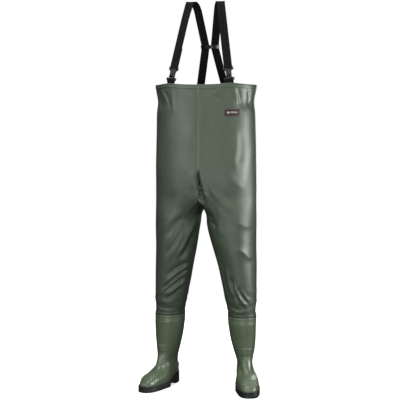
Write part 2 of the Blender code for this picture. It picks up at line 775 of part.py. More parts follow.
def buckle_socket(name, frame):
    """The female half: a hollow housing with two side windows, under a frame for the brace."""
    outline = list(HOUSING_HALF) + [(-x, z) for x, z in HOUSING_HALF[::-1]]
    made = outline_solid(name, outline, HOUSING_DEPTH, BUCKLE_PLASTIC, None)
    made.matrix_world = frame
    near, far = THINNED_DEEP
    thinned = [((-PAST, y[0], THINNED[0]), (PAST, y[1], THINNED[1])) for y in ((near, far), (-far, -near))]
    buckle_cutter(made, frame, "_shoulders", thinned)
    bar = block(BAR_HALF, PLATE / 2, (SOCKET_FRAME_FOOT, SOCKET_BAR[1]))
    buckle_cutter(made, frame, "_frame", [bar], "UNION")
    slot = block(SLOT_HALF, PAST, (SOCKET_SLOT_FOOT, SOCKET_BAR[0]))
    cavity = block(CAVITY_HALF, CAVITY_DEEP, (-PAST, CAVITY_TOP))
    buckle_cutter(made, frame, "_holes", [slot, cavity])
    buckle_cutter(made, frame, "_windows", [block(PAST, CAVITY_DEEP, WINDOW)])


def buckle_base(name, frame):
    """The male half's frame, with the tongue that guides it into the socket."""
    made = boxes(name, [block(BAR_HALF, PLATE / 2, (BASE_BAR[0], BASE_FRAME_TOP))], BUCKLE_PLASTIC)
    made.matrix_world = frame
    buckle_cutter(made, frame, "_slot", [block(SLOT_HALF, PAST, (BASE_BAR[1], BASE_SLOT_TOP))])
    buckle_cutter(made, frame, "_tongue", [block(*TONGUE_HALF, TONGUE_Z)], "UNION")


def buckle_prong(name, frame, hand):
    """One springy arm; its origin is at its root, where it bends."""
    root = Vector((hand * PRONG_X, 0, PRONG_ROOT_Z))
    points = [(x - PRONG_X, z - PRONG_ROOT_Z) for x, z in PRONG]
    if hand < 0:
        points = mirrored(points)
    pivot = empty(name + "_axis", frame @ Matrix.Translation(root))
    outline_solid(name, points, PRONG_DEPTH, BUCKLE_PLASTIC, pivot)


for side_name, side in (("right", 1), ("left", -1)):
    brace(side_name, side)
    front_tab(side_name + "_front_tab", side)
    frame = buckle_frame(side)
    buckle_socket(side_name + "_buckle_socket", frame)
    buckle_base(side_name + "_buckle_base", frame)
    for hand_name, hand in (("outer", side), ("inner", -side)):
        buckle_prong(f"{side_name}_buckle_{hand_name}_prong", frame, hand)
keeper()
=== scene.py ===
"""Chest waders: the looks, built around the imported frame.

Metres, +Z up. The wearer faces -Y. "Right" pieces are at +X and "left" pieces at -X,
as the viewer sees them, so the right ones are on the wearer's left.
"""

import json
import math

import bmesh
import bpy
import numpy as np
from mathutils import Matrix, Vector, noise


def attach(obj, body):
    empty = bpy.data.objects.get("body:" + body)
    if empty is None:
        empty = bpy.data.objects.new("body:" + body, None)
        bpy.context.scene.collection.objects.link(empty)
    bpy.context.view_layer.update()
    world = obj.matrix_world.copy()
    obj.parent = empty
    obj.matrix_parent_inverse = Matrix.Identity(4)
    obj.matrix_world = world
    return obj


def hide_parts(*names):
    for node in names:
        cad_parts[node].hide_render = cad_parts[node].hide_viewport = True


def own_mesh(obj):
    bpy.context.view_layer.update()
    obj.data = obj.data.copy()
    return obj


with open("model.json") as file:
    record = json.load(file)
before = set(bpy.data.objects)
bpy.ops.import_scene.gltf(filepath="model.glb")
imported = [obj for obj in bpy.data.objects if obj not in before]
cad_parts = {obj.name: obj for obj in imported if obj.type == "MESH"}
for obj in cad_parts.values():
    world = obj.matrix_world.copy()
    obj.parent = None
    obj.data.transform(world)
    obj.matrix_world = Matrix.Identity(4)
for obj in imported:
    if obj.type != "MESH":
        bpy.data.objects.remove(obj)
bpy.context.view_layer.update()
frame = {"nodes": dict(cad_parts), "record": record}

# ---------------------------------------------------------------- driving dimensions, as in the frame

AXIS_Y = 0.0269  # the upright axis through the chest and the ankles
HEM_Z = 1.377
FORK_Z = 0.885  # the legs start to part here, on the outside
CROTCH_Z = 0.850
CUFF_Z = 0.318  # lower end of a trouser leg, tucked into its boot
HALF_SEAM = 0.0005  # half of the butt joint between the two body panels
# height, half width, half depth
TORSO = (
    (HEM_Z, 0.2320, 0.155),
    (1.290, 0.2280, 0.153),
    (1.100, 0.2300, 0.156),
    (0.950, 0.2325, 0.157),
    (FORK_Z, 0.2325, 0.150),
)
# height, distance of the leg's centre from the middle, half width, half depth
LEG = (
    (FORK_Z, 0.11625, 0.11625, 0.1500),
    (0.800, 0.1205, 0.1115, 0.1280),
    (0.670, 0.1330, 0.0990, 0.1200),
    (0.560, 0.1468, 0.0868, 0.1065),
    (0.450, 0.1580, 0.0760, 0.0920),
    (0.380, 0.1650, 0.0680, 0.0800),
    (0.345, 0.1685, 0.0615, 0.0750),
    (CUFF_Z, 0.1692, 0.0608, 0.0742),
)
SPLAY = math.radians(19.5)
SPLAY_FROM_Z = 0.62
INNER_WRAP = math.radians(35)
CROTCH_SLOPE = 0.45
ROUND_BY = 0.20  # the legs are round from this share of their length on

ANKLE_X = 0.181
BOOT_Z = 0.330
BOOT_LEAN = 0.012
LEAN_FROM_Z = 0.12
BOOT_WALL = 0.003
TOE_Y = -0.215
HEEL_Y = 0.070
FOOT_HALF_WIDTH = 0.050
FLOOR_Z = 0.0173
HEEL_LIFT = 0.0150
BALL_Y = -0.095
INSTEP_Z = 0.085
TOE_BLUNT = 0.36
HEEL_NARROW = 0.26
TOE_INWARD = 0.008
# height, front, back, half width and how foot-like the outline is
BOOT_RINGS = (
    (BOOT_Z, -0.0790, 0.0790, 0.0655, 0.0),
    (0.285, -0.0775, 0.0775, 0.0630, 0.0),
    (0.230, -0.0715, 0.0740, 0.0575, 0.0),
    (0.180, -0.0665, 0.0695, 0.0490, 0.0),
    (0.148, -0.0655, 0.0665, 0.0410, 0.0),
    (0.122, -0.0720, 0.0650, 0.0360, 0.2),
    (0.102, -0.0900, 0.0645, 0.0370, 0.4),
    (0.085, -0.1190, 0.0650, 0.0405, 0.7),
    (0.070, -0.1540, 0.0665, 0.0450, 0.9),
    (0.054, -0.1900, 0.0685, 0.0485, 1.0),
    (0.036, -0.2110, 0.0695, 0.0498, 1.0),
    (FLOOR_Z, TOE_Y + 0.002, HEEL_Y - 0.001, 0.0490, 1.0),
)
OUTSOLE_GROW = 0.0040
WALL_IN = 0.0010
RIM_FRONT = 0.010
RIM_HEEL_RISE = 0.012
ARCH_Y = (-0.052, 0.014)
ARCH_DEPTH = 0.014

WEB_WIDTH = 0.037
WEB = 0.0015
BUCKLE_AT = Vector((0.1275, -0.1130, 1.4270))
FRONT_HIGH = Vector((0.0795, -0.0340, 1.7055))
SHOULDER_TOP = Vector((0.0660, 0.0000, 1.7545))
BACK_HIGH = Vector((0.0455, 0.0420, 1.7130))
KEEPER_AT = Vector((0.0213, 0.0895, 1.5580))
BACK_HEM = Vector((0.0565, 0.1425, 1.3850))
BACK_END = Vector((0.0610, 0.1415, 1.3300))
TAIL_LENGTH = 0.090
BUCKLE_YAW = math.radians(10)
BACK_YAW = math.radians(-10)

SIDES = (("right", 1), ("left", -1))

# ---------------------------------------------------------------- camera, light and floor

CAMERA_AZIMUTH = math.radians(12.5)
CAMERA_FAR = 5.0
CAMERA_Z = 1.2
CAMERA_PITCH = math.radians(3.92)
CAMERA_LENS = 98.7
CAMERA_SHIFT = -0.015


def make_camera():
    camera = bpy.data.cameras.new("camera")
    camera.lens = CAMERA_LENS
    camera.sensor_width = 36.0
    camera.shift_x = CAMERA_SHIFT
    camera.clip_end = 60
    made = bpy.data.objects.new("camera", camera)
    bpy.context.scene.collection.objects.link(made)
    made.location = (
        CAMERA_FAR * math.sin(CAMERA_AZIMUTH), AXIS_Y - CAMERA_FAR * math.cos(CAMERA_AZIMUTH), CAMERA_Z,
    )
    made.rotation_euler = (math.pi / 2 - CAMERA_PITCH, 0, CAMERA_AZIMUTH)
    bpy.context.scene.camera = made


LIGHT_TINT = (0.93, 1.0, 0.94)
ROOM_TINT = (0.92, 0.96, 1.0, 1)
ROOM_STRENGTH = 0.05


def softbox(name, azimuth, far, z, size, power, aim_z, diffuse=True, glossy=True):
    """A rectangular light; azimuth 0 is in front of the wearer and 90 at their left, +X."""
    light = bpy.data.lights.new(name, "AREA")
    light.shape = "RECTANGLE"
    light.size, light.size_y = size
    light.energy = power
    light.color = LIGHT_TINT
    made = bpy.data.objects.new(name, light)
    bpy.context.scene.collection.objects.link(made)
    turn = math.radians(azimuth)
    made.location = (far * math.sin(turn), -far * math.cos(turn), z)
    target = Vector((0, 0, aim_z))
    made.rotation_euler = (target - made.location).to_track_quat("-Z", "Y").to_euler()
    made.visible_diffuse = diffuse
    made.visible_glossy = glossy


def make_world():
    """White where the camera looks past the object, and a dim grey room around it otherwise."""
    world = bpy.data.worlds.new("studio")
    bpy.context.scene.world = world
    world.use_nodes = True
    nodes, links = world.node_tree.nodes, world.node_tree.links
    nodes.clear()
    room = nodes.new("ShaderNodeBackground")
    room.inputs["Color"].default_value = ROOM_TINT
    room.inputs["Strength"].default_value = ROOM_STRENGTH
    white = nodes.new("ShaderNodeBackground")
    white.inputs["Color"].default_value = (1, 1, 1, 1)
    path = nodes.new("ShaderNodeLightPath")
    mix = nodes.new("ShaderNodeMixShader")
    output = nodes.new("ShaderNodeOutputWorld")
    links.new(path.outputs["Is Camera Ray"], mix.inputs["Fac"])
    links.new(room.outputs["Background"], mix.inputs[1])
    links.new(white.outputs["Background"], mix.inputs[2])
    links.new(mix.outputs["Shader"], output.inputs["Surface"])
    bpy.context.scene.view_settings.view_transform = "Standard"


FLOOR_HALF = 2.4
FLOOR_DROP = 0.0005  # keeps the floor clear of the soles
FLOOR_GLOW = {"From Min": 0.30, "From Max": 1.1, "To Min": 0.62, "To Max": 1.0}  # strength by distance


def make_floor():
    """A pale floor, brighter toward its edges, so that it runs into the white behind it."""
    bpy.ops.mesh.primitive_plane_add(size=2 * FLOOR_HALF, location=(0, 0, -FLOOR_DROP))
    made = bpy.context.object
    made.name = "studio_floor"
    look = bpy.data.materials.new("studio_floor")
    look.use_nodes = True
    nodes, links = look.node_tree.nodes, look.node_tree.links
    shader = nodes["Principled BSDF"]
    shader.inputs["Base Color"].default_value = (0.86, 0.86, 0.86, 1)
    shader.inputs["Roughness"].default_value = 0.9
    shader.inputs["Emission Color"].default_value = (1, 1, 1, 1)
    place = nodes.new("ShaderNodeTexCoord")
    far = nodes.new("ShaderNodeVectorMath")
    far.operation = "LENGTH"
    glow = nodes.new("ShaderNodeMapRange")
    glow.interpolation_type = "SMOOTHSTEP"
    for key, value in FLOOR_GLOW.items():
        glow.inputs[key].default_value = value
    links.new(place.outputs["Object"], far.inputs[0])
    links.new(far.outputs["Value"], glow.inputs["Value"])
    links.new(glow.outputs["Result"], shader.inputs["Emission Strength"])
    made.data.materials.append(look)
    made.visible_diffuse = False
    made.visible_glossy = False


make_camera()
make_world()
make_floor()
softbox("key_softbox", 16, 2.5, 1.9, (1.6, 1.6), 39, aim_z=1.06, glossy=False)
softbox("rim_softbox", 92, 2.3, 0.90, (0.5, 0.7), 22, aim_z=0.92)
softbox("gloss_softbox", 84, 2.3, 0.92, (1.2, 0.9), 44, aim_z=0.96, diffuse=False)
softbox("sheen_softbox", -40, 2.6, 1.4, (1.2, 1.6), 26, aim_z=1.1, diffuse=False)
softbox("low_softbox", 10, 2.5, 0.30, (1.5, 0.5), 17, aim_z=0.15)
softbox("top_softbox", -20, 0.8, 2.9, (1.7, 1.7), 50, aim_z=0.3)
softbox("back_softbox", 180, 3.0, 1.7, (1.8, 1.8), 46, aim_z=1.0)

# ---------------------------------------------------------------- materials


class Look:
    """A material being built: one Principled BSDF and the procedural nodes that drive it."""

    def __init__(self, name, colour, roughness, **sockets):
        self.material = bpy.data.materials.new(name)
        self.material.use_nodes = True
        self.tree = self.material.node_tree
        self.shader = self.tree.nodes["Principled BSDF"]
        self.colour = (*colour, 1)
        self.shader.inputs["Base Color"].default_value = self.colour
        self.shader.inputs["Roughness"].default_value = roughness
        for socket, value in sockets.items():
            self.shader.inputs[socket.replace("_", " ")].default_value = value
        self.place = self.tree.nodes.new("ShaderNodeTexCoord").outputs["Object"]
        self.height = None

    def node(self, kind, inputs=(), **settings):
        made = self.tree.nodes.new(kind)
        for key, value in settings.items():
            setattr(made, key, value)
        for key, value in dict(inputs).items():
            if isinstance(value, bpy.types.NodeSocket):
                self.tree.links.new(value, made.inputs[key])
            else:
                made.inputs[key].default_value = value
        return made

    def stretched(self, scale, source=None):
        """Coordinates that a pattern reads larger or smaller along each axis."""
        inputs = {"Vector": source or self.place, "Scale": scale}
        return self.node("ShaderNodeMapping", inputs).outputs["Vector"]

    def noise(self, scale, detail=3.0, roughness=0.5, source=None):
        inputs = {"Vector": source or self.place, "Scale": scale, "Detail": detail, "Roughness": roughness}
        return self.node("ShaderNodeTexNoise", inputs).outputs["Fac"]

    def remap(self, source, low, high, to_low=0.0, to_high=1.0):
        inputs = {"Value": source, "From Min": low, "From Max": high, "To Min": to_low, "To Max": to_high}
        return self.node("ShaderNodeMapRange", inputs, interpolation_type="SMOOTHSTEP").outputs["Result"]

    def math(self, operation, a, b):
        return self.node("ShaderNodeMath", {0: a, 1: b}, operation=operation).outputs["Value"]

    def tint(self, amount, colour):
        """Mix another colour in where `amount` is high."""
        mix = self.node("ShaderNodeMix", {"Factor": amount}, data_type="RGBA")
        if self.shader.inputs["Base Color"].is_linked:
            self.tree.links.new(self.shader.inputs["Base Color"].links[0].from_socket, mix.inputs[6])
        else:
            mix.inputs[6].default_value = self.colour
        mix.inputs[7].default_value = (*colour, 1)
        self.tree.links.new(mix.outputs[2], self.shader.inputs["Base Color"])

    def rough(self, source, low, high):
        self.tree.links.new(self.remap(source, 0.3, 0.7, low, high), self.shader.inputs["Roughness"])

    def bump(self, source, depth, strength=1.0):
        """Add relief of this depth in metres."""
        inputs = {"Height": source, "Distance": depth, "Strength": strength}
        if self.height is not None:
            inputs["Normal"] = self.height
        self.height = self.node("ShaderNodeBump", inputs).outputs["Normal"]
        self.tree.links.new(self.height, self.shader.inputs["Normal"])


def coated_cloth(name, colour, lighter, worn):
    """Knitted fabric under a skin of soft vinyl: satin, faintly pebbled, scuffed paler here and there."""
    look = Look(name, colour, 0.46, Specular_IOR_Level=0.5)
    look.tint(look.remap(look.noise(2.3, 4.0), 0.35, 0.70, 0.0, 0.75), lighter)
    mottle = look.noise(46.0, 5.0, 0.6)
    look.tint(look.remap(mottle, 0.45, 0.80, 0.0, 0.35), worn)
    scuffs = look.noise(1.0, 6.0, 0.62, look.stretched((26.0, 26.0, 5.0)))
    look.tint(look.remap(scuffs, 0.62, 0.80, 0.0, 0.40), worn)
    look.rough(look.noise(7.0, 4.0), 0.42, 0.52)
    look.bump(look.noise(9.0, 3.0, 0.45, look.stretched((1.0, 1.0, 0.4))), 0.0020, 0.30)
    look.bump(look.noise(55.0, 4.0, 0.55), 0.0007, 0.45)
    knit = look.node("ShaderNodeTexVoronoi", {"Vector": look.place, "Scale": 620.0}).outputs["Distance"]
    look.bump(knit, 0.00012, 0.55)
    return look.material


def knit_backing():
    """The fabric side of the coated cloth."""
    look = Look("knit_backing", (0.050, 0.058, 0.047), 0.92, Sheen_Weight=0.35, Sheen_Roughness=0.5)
    look.tint(look.remap(look.noise(60.0, 4.0), 0.40, 0.70, 0.0, 0.5), (0.078, 0.088, 0.074))
    ribs = look.node("ShaderNodeTexWave", {"Vector": look.place, "Scale": 110.0, "Distortion": 0.6},
                     bands_direction="Z")
    look.bump(ribs.outputs["Fac"], 0.0003, 0.6)
    look.bump(look.noise(700.0, 2.0), 0.0002, 0.6)
    return look.material


def boot_vinyl():
    """Moulded boot: glossier than the cloth, with flow marks and rubbed high spots."""
    look = Look("boot_vinyl", (0.098, 0.124, 0.076), 0.32, Specular_IOR_Level=0.6, Coat_Weight=0.15,
                Coat_Roughness=0.32)
    look.tint(look.remap(look.noise(6.0, 5.0), 0.38, 0.68, 0.0, 0.7), (0.118, 0.145, 0.094))
    look.tint(look.remap(look.noise(70.0, 6.0, 0.65), 0.58, 0.78, 0.0, 0.40), (0.130, 0.152, 0.108))
    look.rough(look.noise(18.0, 5.0), 0.34, 0.48)
    look.bump(look.noise(30.0, 4.0, 0.5), 0.0006, 0.25)
    look.bump(look.noise(420.0, 3.0), 0.00008, 0.4)
    return look.material


def sole_rubber():
    """Black rubber with dust in its grain."""
    look = Look("sole_rubber", (0.010, 0.0105, 0.010), 0.55)
    look.tint(look.remap(look.noise(24.0, 6.0, 0.65), 0.52, 0.80, 0.0, 0.55), (0.045, 0.045, 0.040))
    look.rough(look.noise(40.0, 5.0), 0.42, 0.68)
    look.bump(look.noise(260.0, 4.0, 0.6), 0.0004, 0.5)
    return look.material


def insole_felt():
    look = Look("insole_felt", (0.19, 0.19, 0.18), 0.95, Sheen_Weight=0.3)
    look.tint(look.remap(look.noise(180.0, 4.0, 0.7), 0.40, 0.72), (0.28, 0.28, 0.27))
    look.bump(look.noise(900.0, 3.0), 0.0004, 0.7)
    return look.material


def elastic_webbing():
    """Black elastic: fine ribs along it, crossed by the weft."""
    look = Look("elastic_webbing", (0.0030, 0.0030, 0.0036), 0.80, Specular_IOR_Level=0.10, Sheen_Weight=0.02,
                Sheen_Roughness=0.35)
    flat = look.node("ShaderNodeUVMap", uv_map="web").outputs["UV"]
    ribs = look.node("ShaderNodeTexWave", {"Vector": flat, "Scale": 230.0, "Distortion": 0.4,
                                           "Detail": 1.0}, bands_direction="X")
    weft = look.node("ShaderNodeTexWave", {"Vector": flat, "Scale": 300.0, "Distortion": 0.5,
                                           "Detail": 1.0}, bands_direction="Y")
    weave = look.math("MULTIPLY", ribs.outputs["Fac"], weft.outputs["Fac"])
    look.tint(look.remap(weave, 0.2, 0.9, 0.0, 0.6), (0.0065, 0.0065, 0.0075))
    look.tint(look.remap(look.noise(35.0, 5.0, 0.6), 0.55, 0.80, 0.0, 0.5), (0.010, 0.010, 0.0105))
    look.rough(look.noise(90.0, 3.0), 0.68, 0.86)
    look.bump(weave, 0.0003, 0.7)
    return look.material


def moulded_plastic():
    """Black acetal: fine spark-eroded grain, rubbed a little shinier and greyer."""
    look = Look("moulded_plastic", (0.0040, 0.0040, 0.0044), 0.33, Specular_IOR_Level=0.42)
    look.tint(look.remap(look.noise(120.0, 6.0, 0.6), 0.55, 0.80, 0.0, 0.5), (0.012, 0.012, 0.013))
    look.rough(look.noise(300.0, 4.0), 0.27, 0.40)
    look.bump(look.noise(2600.0, 2.0), 0.00005, 0.5)
    return look.material


def label_rubber(name, colour, fleck, roughness):
    look = Look(name, colour, roughness)
    look.tint(look.remap(look.noise(160.0, 5.0, 0.6), 0.5, 0.8, 0.0, 0.6), fleck)
    look.rough(look.noise(220.0, 3.0), roughness - 0.08, roughness + 0.10)
    look.bump(look.noise(900.0, 3.0), 0.0001, 0.5)
    return look.material


CLOTH = coated_cloth("coated_cloth", (0.056, 0.071, 0.050), (0.067, 0.083, 0.060), (0.090, 0.108, 0.082))
TAPE_LOOK = coated_cloth("welded_tape", (0.062, 0.078, 0.055), (0.074, 0.090, 0.066), (0.110, 0.128, 0.100))
# weld bead and hem piping: a paler cloth colour, a painted highlight along their raised ridges
BEAD_HIGHLIGHT_LOOK = coated_cloth("weld_bead", (0.100, 0.120, 0.090), (0.122, 0.143, 0.110), (0.160, 0.182, 0.148))
# cuff bands and crotch gusset: a darker cloth colour, painted shade at the boot tops and under the crotch
SHADED_BAND_LOOK = coated_cloth("cuff_band", (0.036, 0.046, 0.032), (0.046, 0.058, 0.041), (0.080, 0.094, 0.072))
BACKING = knit_backing()
BOOT = boot_vinyl()
SOLE = sole_rubber()
INSOLE = insole_felt()
ELASTIC = elastic_webbing()
PLASTIC = moulded_plastic()
LABEL_BLACK = label_rubber("label_black", (0.010, 0.010, 0.010), (0.022, 0.022, 0.022), 0.45)
LABEL_PALE = label_rubber("label_pale", (0.34, 0.33, 0.31), (0.24, 0.23, 0.21), 0.50)
LABEL_RED = label_rubber("label_red", (0.19, 0.030, 0.022), (0.11, 0.020, 0.016), 0.50)

# ---------------------------------------------------------------- mesh helpers


def ease(x):
    x = np.clip(x, 0.0, 1.0)
    return x * x * (3 - 2 * x)


def bell(x):
    return np.exp(-np.square(x))


def column(stations, z, index, fork_slope=None):
    """One column of a table of stations, read at heights z along a smooth curve."""
    table = np.array(stations)[::-1]
    heights, values = table[:, 0], table[:, index]
    slopes = np.gradient(values, heights)
    if fork_slope is not None:
        slopes[heights == FORK_Z] = fork_slope
    z = np.clip(z, heights[0], heights[-1])
    k = np.clip(np.searchsorted(heights, z) - 1, 0, len(heights) - 2)
    span = heights[k + 1] - heights[k]
    t = (z - heights[k]) / span
    a, b, da, db = values[k], values[k + 1], slopes[k] * span, slopes[k + 1] * span
    return a + da * t + (3 * (b - a) - 2 * da - db) * t**2 + (2 * (a - b) + da + db) * t**3


def joined(x, y, z):
    return np.stack(np.broadcast_arrays(x, y, z), -1).astype(float)


def lerp(a, b, t):
    return a + (b - a) * t


def strip_faces(rows, around=False):
    """Quads between neighbouring rows of vertex numbers."""
    faces = []
    for upper, lower in zip(rows, rows[1:]):
        count = len(upper)
        for i in range(count if around else count - 1):
            j = (i + 1) % count
            faces.append((upper[i], lower[i], lower[j], upper[j]))
    return faces


def mesh_object(name, points, faces, looks, flip=False, crease=60):
    mesh = bpy.data.meshes.new(name)
    if flip:
        faces = [f[::-1] for f in faces]
    mesh.from_pydata([tuple(p) for p in points], [], faces)
    mesh.update()
    mesh.shade_smooth()
    mesh.set_sharp_from_angle(angle=math.radians(crease))
    for look in looks:
        mesh.materials.append(look)
    made = bpy.data.objects.new(name, mesh)
    bpy.context.scene.collection.objects.link(made)
    return made


def sheet(name, grid, looks, around=False, flip=False):
    """A surface through a grid of points."""
    rows, columns = grid.shape[:2]
    numbers = np.arange(rows * columns).reshape(rows, columns).tolist()
    return mesh_object(name, grid.reshape(-1, 3), strip_faces(numbers, around), looks, flip)


def thicken(made, thickness, offset=-1.0, inner_look=0):
    skin = made.modifiers.new("thickness", "SOLIDIFY")
    skin.thickness = thickness
    skin.offset = offset
    skin.material_offset = inner_look
    skin.material_offset_rim = 0


def normals_of(made):
    count = len(made.data.vertices)
    found = np.empty(count * 3, np.float32)
    made.data.vertex_normals.foreach_get("vector", found)
    return found.reshape(count, 3).astype(float)


def points_of(made):
    found = np.empty(len(made.data.vertices) * 3, np.float32)
    made.data.vertices.foreach_get("co", found)
    return found.reshape(-1, 3).astype(float)


def set_points(made, points):
    made.data.vertices.foreach_set("co", points.astype(np.float32).ravel())
    made.data.update()


def smooth_noise(points, scale, seed, stretch=(1, 1, 1)):
    offset = Vector((seed * 17.3, seed * 5.1, seed * 9.7))
    pull = Vector(stretch) * scale
    return np.array([
        noise.noise(Vector((p[0] * pull.x, p[1] * pull.y, p[2] * pull.z)) + offset) for p in points
    ])


# ---------------------------------------------------------------- folds of the cloth

# route as points (x, z), half width, height; a negative height is a furrow
FRONT_FOLDS = (
    # the bib, below the hem
    (((-0.212, 1.368), (-0.198, 1.315), (-0.181, 1.262)), 0.008, -0.0035),
    (((-0.192, 1.366), (-0.17, 1.325), (-0.142, 1.285)), 0.009, 0.0026),
    (((-0.178, 1.36), (-0.152, 1.32), (-0.128, 1.262)), 0.009, -0.0026),
    (((-0.127, 1.366), (-0.124, 1.31), (-0.118, 1.24)), 0.008, 0.002),
    (((0.112, 1.366), (0.066, 1.336), (0.016, 1.318)), 0.008, 0.0026),
    (((0.114, 1.35), (0.078, 1.316), (0.04, 1.29)), 0.009, -0.0024),
    (((0.126, 1.366), (0.108, 1.325), (0.1, 1.29)), 0.009, -0.0026),
    (((0.15, 1.37), (0.16, 1.328), (0.17, 1.29)), 0.006, 0.0026),
    (((0.164, 1.37), (0.176, 1.318), (0.19, 1.262)), 0.008, -0.0032),
    (((0.206, 1.368), (0.214, 1.32), (0.208, 1.27)), 0.007, -0.0035),
    # the middle seam sinks in toward the fork, and the cloth fans out beside it
    (((0.0, 1.372), (0.0, 1.24), (0.0, 1.06)), 0.01, -0.0012),
    (((0.0, 1.01), (-0.001, 0.965), (0.004, 0.925), (0.012, 0.885), (0.02, 0.81)), 0.004, -0.027),
    (((0.004, 0.95), (0.01, 0.905), (0.02, 0.865), (0.02, 0.805)), 0.008, -0.006),
    (((0.012, 1.01), (0.02, 0.95), (0.032, 0.9), (0.048, 0.85)), 0.008, 0.007),
    (((-0.02, 1.01), (-0.022, 0.95), (-0.018, 0.9)), 0.014, 0.003),
    (((0.034, 0.96), (0.046, 0.905), (0.066, 0.855)), 0.009, -0.003),
    (((0.013, 0.991), (0.058, 0.912), (0.113, 0.846), (0.167, 0.807)), 0.016, 0.0036),
    (((0.06, 0.95), (0.11, 0.892), (0.16, 0.85)), 0.016, -0.003),
    (((0.11, 1.01), (0.15, 0.95), (0.2, 0.905)), 0.022, 0.0032),
    (((0.083, 0.852), (0.098, 0.796), (0.092, 0.743), (0.104, 0.689)), 0.013, 0.0036),
    (((0.124, 0.83), (0.14, 0.78), (0.15, 0.73)), 0.014, -0.0028),
    # the pouch beside the fork
    (((0.03, 0.846), (0.052, 0.828), (0.07, 0.8), (0.073, 0.766)), 0.007, 0.0055),
    (((0.024, 0.812), (0.044, 0.8), (0.06, 0.776)), 0.014, -0.005),
    (((0.024, 0.782), (0.045, 0.784), (0.061, 0.78)), 0.0045, 0.0045),
    (((0.044, 0.768), (0.064, 0.758), (0.08, 0.735)), 0.009, -0.0045),
    # long soft folds down the sides
    (((0.15, 1.23), (0.166, 1.13), (0.156, 1.04), (0.17, 0.96)), 0.018, 0.0022),
    (((0.176, 1.18), (0.184, 1.09), (0.172, 1.01)), 0.018, -0.0022),
    (((-0.196, 1.18), (-0.204, 1.06), (-0.2, 0.94)), 0.02, 0.0022),
    # the bright side folds back in where the thigh begins to turn
    (((0.15, 0.776), (0.192, 0.752), (0.228, 0.742)), 0.016, 0.0034),
    (((0.15, 0.655), (0.195, 0.629), (0.228, 0.585)), 0.014, 0.0034),
    # drag lines down the left thigh
    (((-0.186, 0.7), (-0.139, 0.764), (-0.07, 0.83)), 0.014, 0.0036),
    (((-0.16, 0.69), (-0.118, 0.745), (-0.062, 0.8)), 0.012, -0.0032),
    (((-0.15, 0.588), (-0.095, 0.674), (-0.045, 0.755)), 0.012, 0.0036),
    (((-0.17, 0.6), (-0.12, 0.665), (-0.076, 0.725)), 0.012, -0.0036),
    (((-0.12, 0.59), (-0.082, 0.652), (-0.04, 0.738), (-0.01, 0.812)), 0.007, 0.0075),
    (((-0.1, 0.585), (-0.062, 0.645), (-0.022, 0.73)), 0.012, -0.0075),
    # the left knee and shin
    (((-0.052, 0.588), (-0.119, 0.553), (-0.172, 0.51)), 0.009, -0.005),
    (((-0.05, 0.575), (-0.115, 0.53), (-0.185, 0.468)), 0.0065, 0.0055),
    (((-0.056, 0.562), (-0.122, 0.51), (-0.193, 0.444)), 0.0075, -0.007),
    (((-0.06, 0.545), (-0.126, 0.493), (-0.19, 0.438)), 0.006, 0.0055),
    (((-0.07, 0.526), (-0.131, 0.478), (-0.188, 0.43)), 0.0065, -0.0055),
    (((-0.078, 0.5), (-0.128, 0.456), (-0.176, 0.42)), 0.007, 0.005),
    (((-0.09, 0.47), (-0.13, 0.436), (-0.17, 0.405)), 0.007, -0.0036),
    (((-0.11, 0.412), (-0.155, 0.392), (-0.2, 0.398)), 0.009, 0.0028),
    (((-0.115, 0.372), (-0.165, 0.364), (-0.22, 0.372)), 0.006, -0.0024),
    # the right shin
    (((0.06, 0.64), (0.084, 0.55), (0.106, 0.455), (0.126, 0.38)), 0.006, 0.0034),
    (((0.115, 0.566), (0.124, 0.49), (0.15, 0.411)), 0.009, 0.0048),
    (((0.13, 0.53), (0.146, 0.46), (0.172, 0.394)), 0.008, -0.0065),
    (((0.141, 0.505), (0.166, 0.435), (0.2, 0.386), (0.214, 0.371)), 0.0075, 0.0066),
    (((0.166, 0.48), (0.186, 0.43), (0.214, 0.392)), 0.008, -0.005),
    (((0.176, 0.47), (0.198, 0.43), (0.216, 0.4)), 0.006, 0.004),
    (((0.12, 0.384), (0.15, 0.372), (0.178, 0.368)), 0.006, -0.0036),
    (((0.126, 0.366), (0.17, 0.358), (0.222, 0.364)), 0.0055, 0.0026),
)
